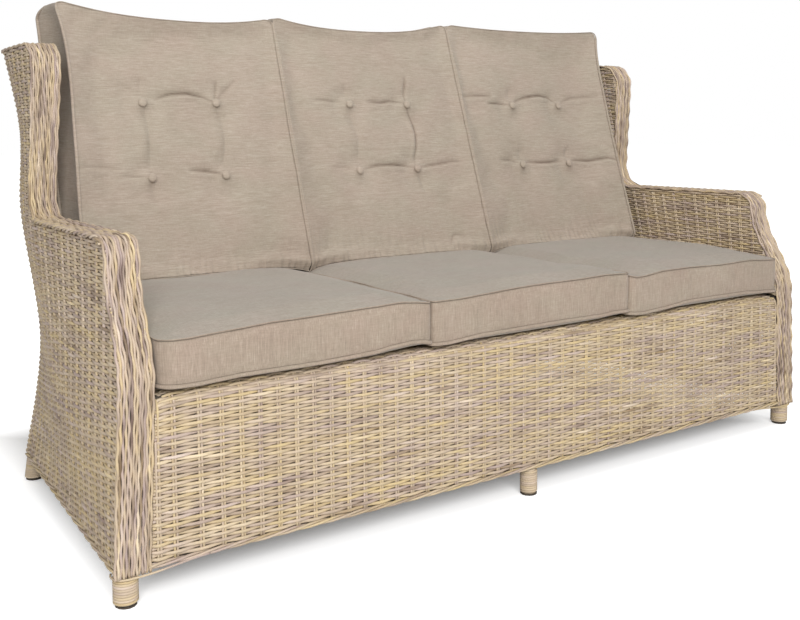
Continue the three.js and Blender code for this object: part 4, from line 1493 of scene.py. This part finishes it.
class BackCushion(Cushion):
    """A soft cushion with four tufts, folds between them and piped edges."""

    def __init__(self, word, place_x):
        super().__init__(word, place_x, "back", CUSHION_WIDTH, CUSHION_HEIGHT)
        seed = BACK_SEED + place_x

        def plan(u, v):
            a = u * (self.half_a - EDGE_IN * (1 - v**4))
            radius = np.where(v > 0, BACK_CORNER, BACK_LOW_CORNER)
            a, b = on_arcs(a, v * self.half_b, self.half_a, self.half_b, radius)
            dropped = lerp(*TOP_DROP[word], (u + 1) / 2)
            sunk = TOP_SAG[word] * v * (1 - np.abs(u) ** SAG_POWER) + dropped
            rested = SEAT_FALL * (1 - np.maximum(1 - u**4, 0) ** SWELL_POWER)
            return a, b - np.maximum(v, 0) ** 2 * sunk - np.maximum(-v, 0) ** 3 * rested

        def front(a, b, u, v):
            away = [np.hypot(a - x, b - z) / TUFT_REACH for x, z in BUTTONS]
            tuft = sum(TUFT_DEPTH * np.exp(-TUFT_FALL * d**2) for d in away)
            near = np.clip(sum(np.exp(-TUFT_CALM * d**2) for d in away), 0, 1)
            below, above = [lerp(*pair, (u + 1) / 2) for pair in SEAM_DEPTH[word]]
            seam = lerp(below, above, (v + 1) / 2) - SEAM_TUCK * smoothstep(-v, 0.92, 1)
            uneven = drift(a, b, seed, *BACK_UNEVEN) * (1 - near)
            return lerp(seam, BACK_FILL, swell(u, v)) - tuft + uneven

        def rear(a, b, u, v):
            seam = BACK_SEAM_IN + TOP_SEAM_FORWARD * smoothstep(v, 0.88, 1)
            return seam * (1 - press(u, v)) + REAR_GAP

        pad = Pad(BACK_GRID, plan, front, rear, BACK_BULGE)
        a, b = pad.points[:, 0], pad.points[:, 1]
        held = np.zeros(len(a))
        held[pad.rings[0]] = 1
        front_side = np.arange(len(a)) < pad.size
        for x, z in BUTTONS:
            held[front_side & (np.hypot(a - x, b - z) < BUTTON_HOLD)] = 1
        self.start(pad, held, True, BACK_PRESSURE, BACK_SLACK)

    def place(self, p):
        z = BACK_LOW + CUSHION_HEIGHT / 2 + p[:, 1]
        return np.stack([self.middle + p[:, 0], back_face(z) - JOINT_GAP - p[:, 2], z], 1)

    def local(self, points):
        """Across, up and through the cushion, from points in metres."""
        x, y, z = from_frame(points).T
        return x - self.middle, z - BACK_LOW - CUSHION_HEIGHT / 2, back_face(z) - JOINT_GAP - y

    def pinched(self, points):
        """The points with the outer side's front edge drawn in."""
        a, b, c = self.local(points)
        v = np.clip(b / self.half_b, -1, 1)
        share = (1 - v**4) * (1 + v) / 2
        near = smoothstep(a * self.outward / self.half_a, 0.55, 1) * smoothstep(c, *PINCH_SPAN)
        a = a - self.outward * SIDE_PINCH * share * near
        return to_frame(self.place(np.stack([a, b, c], 1)))

    def folded(self, a, b, c):
        """Through the cushion with its folds pressed in, and how much painted shade each point's
        crease gets.
        """
        depth, crease_shading = np.zeros(len(a)), np.zeros(len(a))
        for deep, wide, path in FOLDS[self.word]:
            signed, share = along_line(a, b, path)
            ends = np.sqrt(np.clip(np.sin(np.pi * np.clip(share, 0.02, 0.98)), 0, 1))
            valley = np.exp(-np.abs(signed) / wide)
            lip = np.exp(-(((signed + LIP_PLACE * wide) / (LIP_WIDTH * wide)) ** 2))
            depth += FOLD_GAIN * deep * ends * (valley - LIP_SHARE * lip)
            line = np.exp(-((signed / CREASE_WIDTH) ** 2))
            sharp = deep / CREASE_FULL * ends * line * (wide < SHARP_BELOW)
            crease_shading = np.maximum(crease_shading, sharp)
        low = np.clip((b + self.half_b) / PUCKER_FADE, 0, 3)
        seed = PUCKER_SEED + len(self.word)
        pucker = np.abs(drift(a, PUCKER_STRETCH * b, seed, PUCKER_SIZE, 1.0))
        depth += PUCKER_DEPTH * pucker * np.exp(-low) * (c > PUCKER_FROM)
        side = np.clip((self.half_a - np.abs(a)) / SIDE_PUCKER_FADE, 0, 3)
        seed = SIDE_PUCKER_SEED
        pucker = np.abs(drift(PUCKER_STRETCH * a, b, seed, SIDE_PUCKER_SIZE, 1.0))
        depth += SIDE_PUCKER_DEPTH * pucker * np.exp(-side)
        front = smoothstep(c, *FOLD_SPAN)
        return c - depth * front, np.clip(crease_shading * front, 0, 1)

    def finish(self, end):
        end = capped(self.at_start, end, BACK_TRAVEL)
        end = self.kept_in(evened(self.cover, self.at_start, end, self.held))
        end[:, 2] = np.maximum(end[:, 2], (BACK_LOW - SEAT_FALL) * MM)
        mesh, seams = self.finer(self.pinched(end))
        a, b, c = self.local(points_of(mesh))
        through, crease_shading = self.folded(a, b, c)
        set_points(mesh, to_frame(self.place(np.stack([a, b, through], 1))))
        # How much painted shade each point gets along the folds' creases
        crease_shading_layer = mesh.attributes.new("crease_shading", "FLOAT", "POINT")
        crease_shading_layer.data.foreach_set("value", crease_shading.astype(np.float32))
        self.dress(mesh, (panel_fabric, panel_fabric), fill=0.7)
        v = self.pad.up_share[self.pad.rings[0]]
        radius = lerp(BACK_PIPING, CORNER_PIPING, smoothstep(np.abs(v), 0.9, 1))
        piping = Strands(SEEDS["back_piping"], ROUNDER)
        for i, seam in enumerate(seams):
            line = seam + self.pad.out * [1, 0, 1]
            piping.add(line, [0, 1, 0], radius, 1 + i, closed=True)
        self.sew("piping", piping, panel_fabric)


places = (("left", -1), ("middle", 0), ("right", 1))
cushions = [kind(*place) for kind in (SeatCushion, BackCushion) for place in places]
for cushion, end in zip(cushions, run_cloth([cushion.trial for cushion in cushions])):
    cushion.finish(end)

BUTTON_SIDES = 28
BUTTON_RADIUS, BUTTON_HEIGHT = 10.6, 7.0
# The dome's outline, as shares of the radius and the height
BUTTON_PROFILE = [
    (0.80, 0.0), (0.95, 0.10), (1.0, 0.28), (0.97, 0.48),
    (0.86, 0.70), (0.66, 0.87), (0.38, 0.97), (0.12, 1.0),
]


def covered_button(name, node):
    """A domed button covered in fabric, where the plain one is."""
    low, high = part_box(node)
    middle = (np.array(low) + np.array(high)) / 2
    ahead = np.array([0, -math.cos(RECLINE), math.sin(RECLINE)])
    side = np.array([1.0, 0, 0])
    n = BUTTON_SIDES
    turn = 2 * np.pi * np.arange(n)[:, None] / n
    ring = np.cos(turn) * side + np.sin(turn) * np.cross(side, ahead)
    rings = []
    for share, rise in BUTTON_PROFILE:
        lift = BUTTON_HEIGHT * (rise - 0.5) * ahead
        rings.append(middle + MM * (BUTTON_RADIUS * share * ring + lift))
    i, j = np.meshgrid(np.arange(len(rings) - 1), np.arange(n), indexing="ij")
    k = (j + 1) % n
    quads = np.stack([i * n + j, i * n + k, (i + 1) * n + k, (i + 1) * n + j], -1)
    caps = np.array([np.arange(n)[::-1], (len(rings) - 1) * n + np.arange(n)])
    mesh = raw_mesh(name, np.concatenate(rings), [(quads.reshape(-1, 4), 4), (caps, n)])
    word = node.split("_")[0]
    # Paler cloth paints the light that the domed buttons catch
    piece(name, mesh, button_fabric_painted_lit, f"{word}_back", [node])


for name in list(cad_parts):
    if "button" in name:
        covered_button(f"{name}_cover", name)

# Floor and light

FLOOR_REACH = 30
# The floor's colour, the dark painted shadow it turns to under the sofa, and the depths over which
# that fades in
FLOOR_WHITE, FLOOR_PAINTED_SHADOW = (0.93, 0.93, 0.93, 1), (0.40, 0.38, 0.35, 1)
SHADOW_PAINT_FROM, SHADOW_PAINT_TO = 0.05, 0.3
# The camera-only glow is weaker near the sofa, painting its soft shadow
FAR_GLOW, NEAR_GLOW = 0.85, 0.57
GLOW_FADE = 1.4
GLOW_EDGE = 0.22
SHADE_BEHIND = 0.4
SKY_STRENGTH = 0.35
WHITE = (1, 1, 1, 1)


def floor():
    """A pale floor that glows for the camera, with painted shadow near and under the sofa."""
    corners = np.array([[-1, -1, 0], [1, -1, 0], [1, 1, 0], [-1, 1, 0]], float)
    mesh = raw_mesh("floor", corners * FLOOR_REACH, [(np.array([[0, 1, 2, 3]]), 4)])
    obj = placed("floor", mesh)
    s = Shader("floor")
    seen = s.node("LightPath").outputs["Is Camera Ray"]
    place = s.node("SeparateXYZ", {0: s.place()}).outputs
    wide, deep = [cad_bounds[1][i] - cad_bounds[0][i] for i in (0, 1)]
    behind = s.math("SUBTRACT", place[1], SHADE_BEHIND / 2)
    spans = ((wide, place[0]), (deep + SHADE_BEHIND, behind))
    inside = [s.math("SUBTRACT", size / 2, s.math("ABSOLUTE", at)) for size, at in spans]
    depth = s.math("MINIMUM", *inside)

    def between(start, end, at_start, at_end):
        ranges = {"From Min": start, "From Max": end, "To Min": at_start, "To Max": at_end}
        return s.node("MapRange", {"Value": depth, **ranges}).outputs[0]

    # The glow fades towards the sofa and is gone under it: a painted soft shadow on the floor
    outside = between(-GLOW_FADE, 0.0, FAR_GLOW, NEAR_GLOW)
    around = s.math("MULTIPLY", outside, between(0.0, GLOW_EDGE, 1.0, 0.0))
    glow = s.math("MULTIPLY", seen, around)
    # Painted shadow: the floor's own colour turns dark under the sofa
    pale = s.mix(between(SHADOW_PAINT_FROM, SHADOW_PAINT_TO, 0.0, 1.0), FLOOR_WHITE, FLOOR_PAINTED_SHADOW)
    light = {"Emission_Color": WHITE, "Emission_Strength": glow}
    mesh.materials.append(s.finish(Base_Color=pale, Roughness=0.9, Specular_IOR_Level=0.1, **light))


def studio():
    """White for the camera, and a softer white for the light on the object."""
    world = bpy.data.worlds.new("studio")
    bpy.context.scene.world = world
    world.use_nodes = True
    tree = world.node_tree
    background = tree.nodes["Background"]
    background.inputs["Color"].default_value = WHITE
    path = tree.nodes.new("ShaderNodeLightPath")
    strength = tree.nodes.new("ShaderNodeMapRange")
    strength.inputs["To Min"].default_value = SKY_STRENGTH
    strength.inputs["To Max"].default_value = 1.0
    tree.links.new(path.outputs["Is Camera Ray"], strength.inputs["Value"])
    tree.links.new(strength.outputs["Result"], background.inputs["Strength"])


def area_light(name, place, target, size, power):
    light = bpy.data.lights.new(name, "AREA")
    light.shape = "RECTANGLE"
    light.size, light.size_y = size
    light.energy = power
    obj = placed(name, light)
    obj.location = place
    ahead = Vector(target) - Vector(place)
    obj.rotation_euler = ahead.to_track_quat("-Z", "Y").to_euler()


floor()
studio()
area_light("key", place=(-2.2, -4.4, 2.8), target=(0.1, 0, 0.4), size=(3.0, 2.0), power=240)
area_light("top", place=(0.2, -0.7, 4.5), target=(0, 0, 0), size=(3.5, 3.0), power=60)
bpy.context.scene.view_settings.view_transform = "Standard"
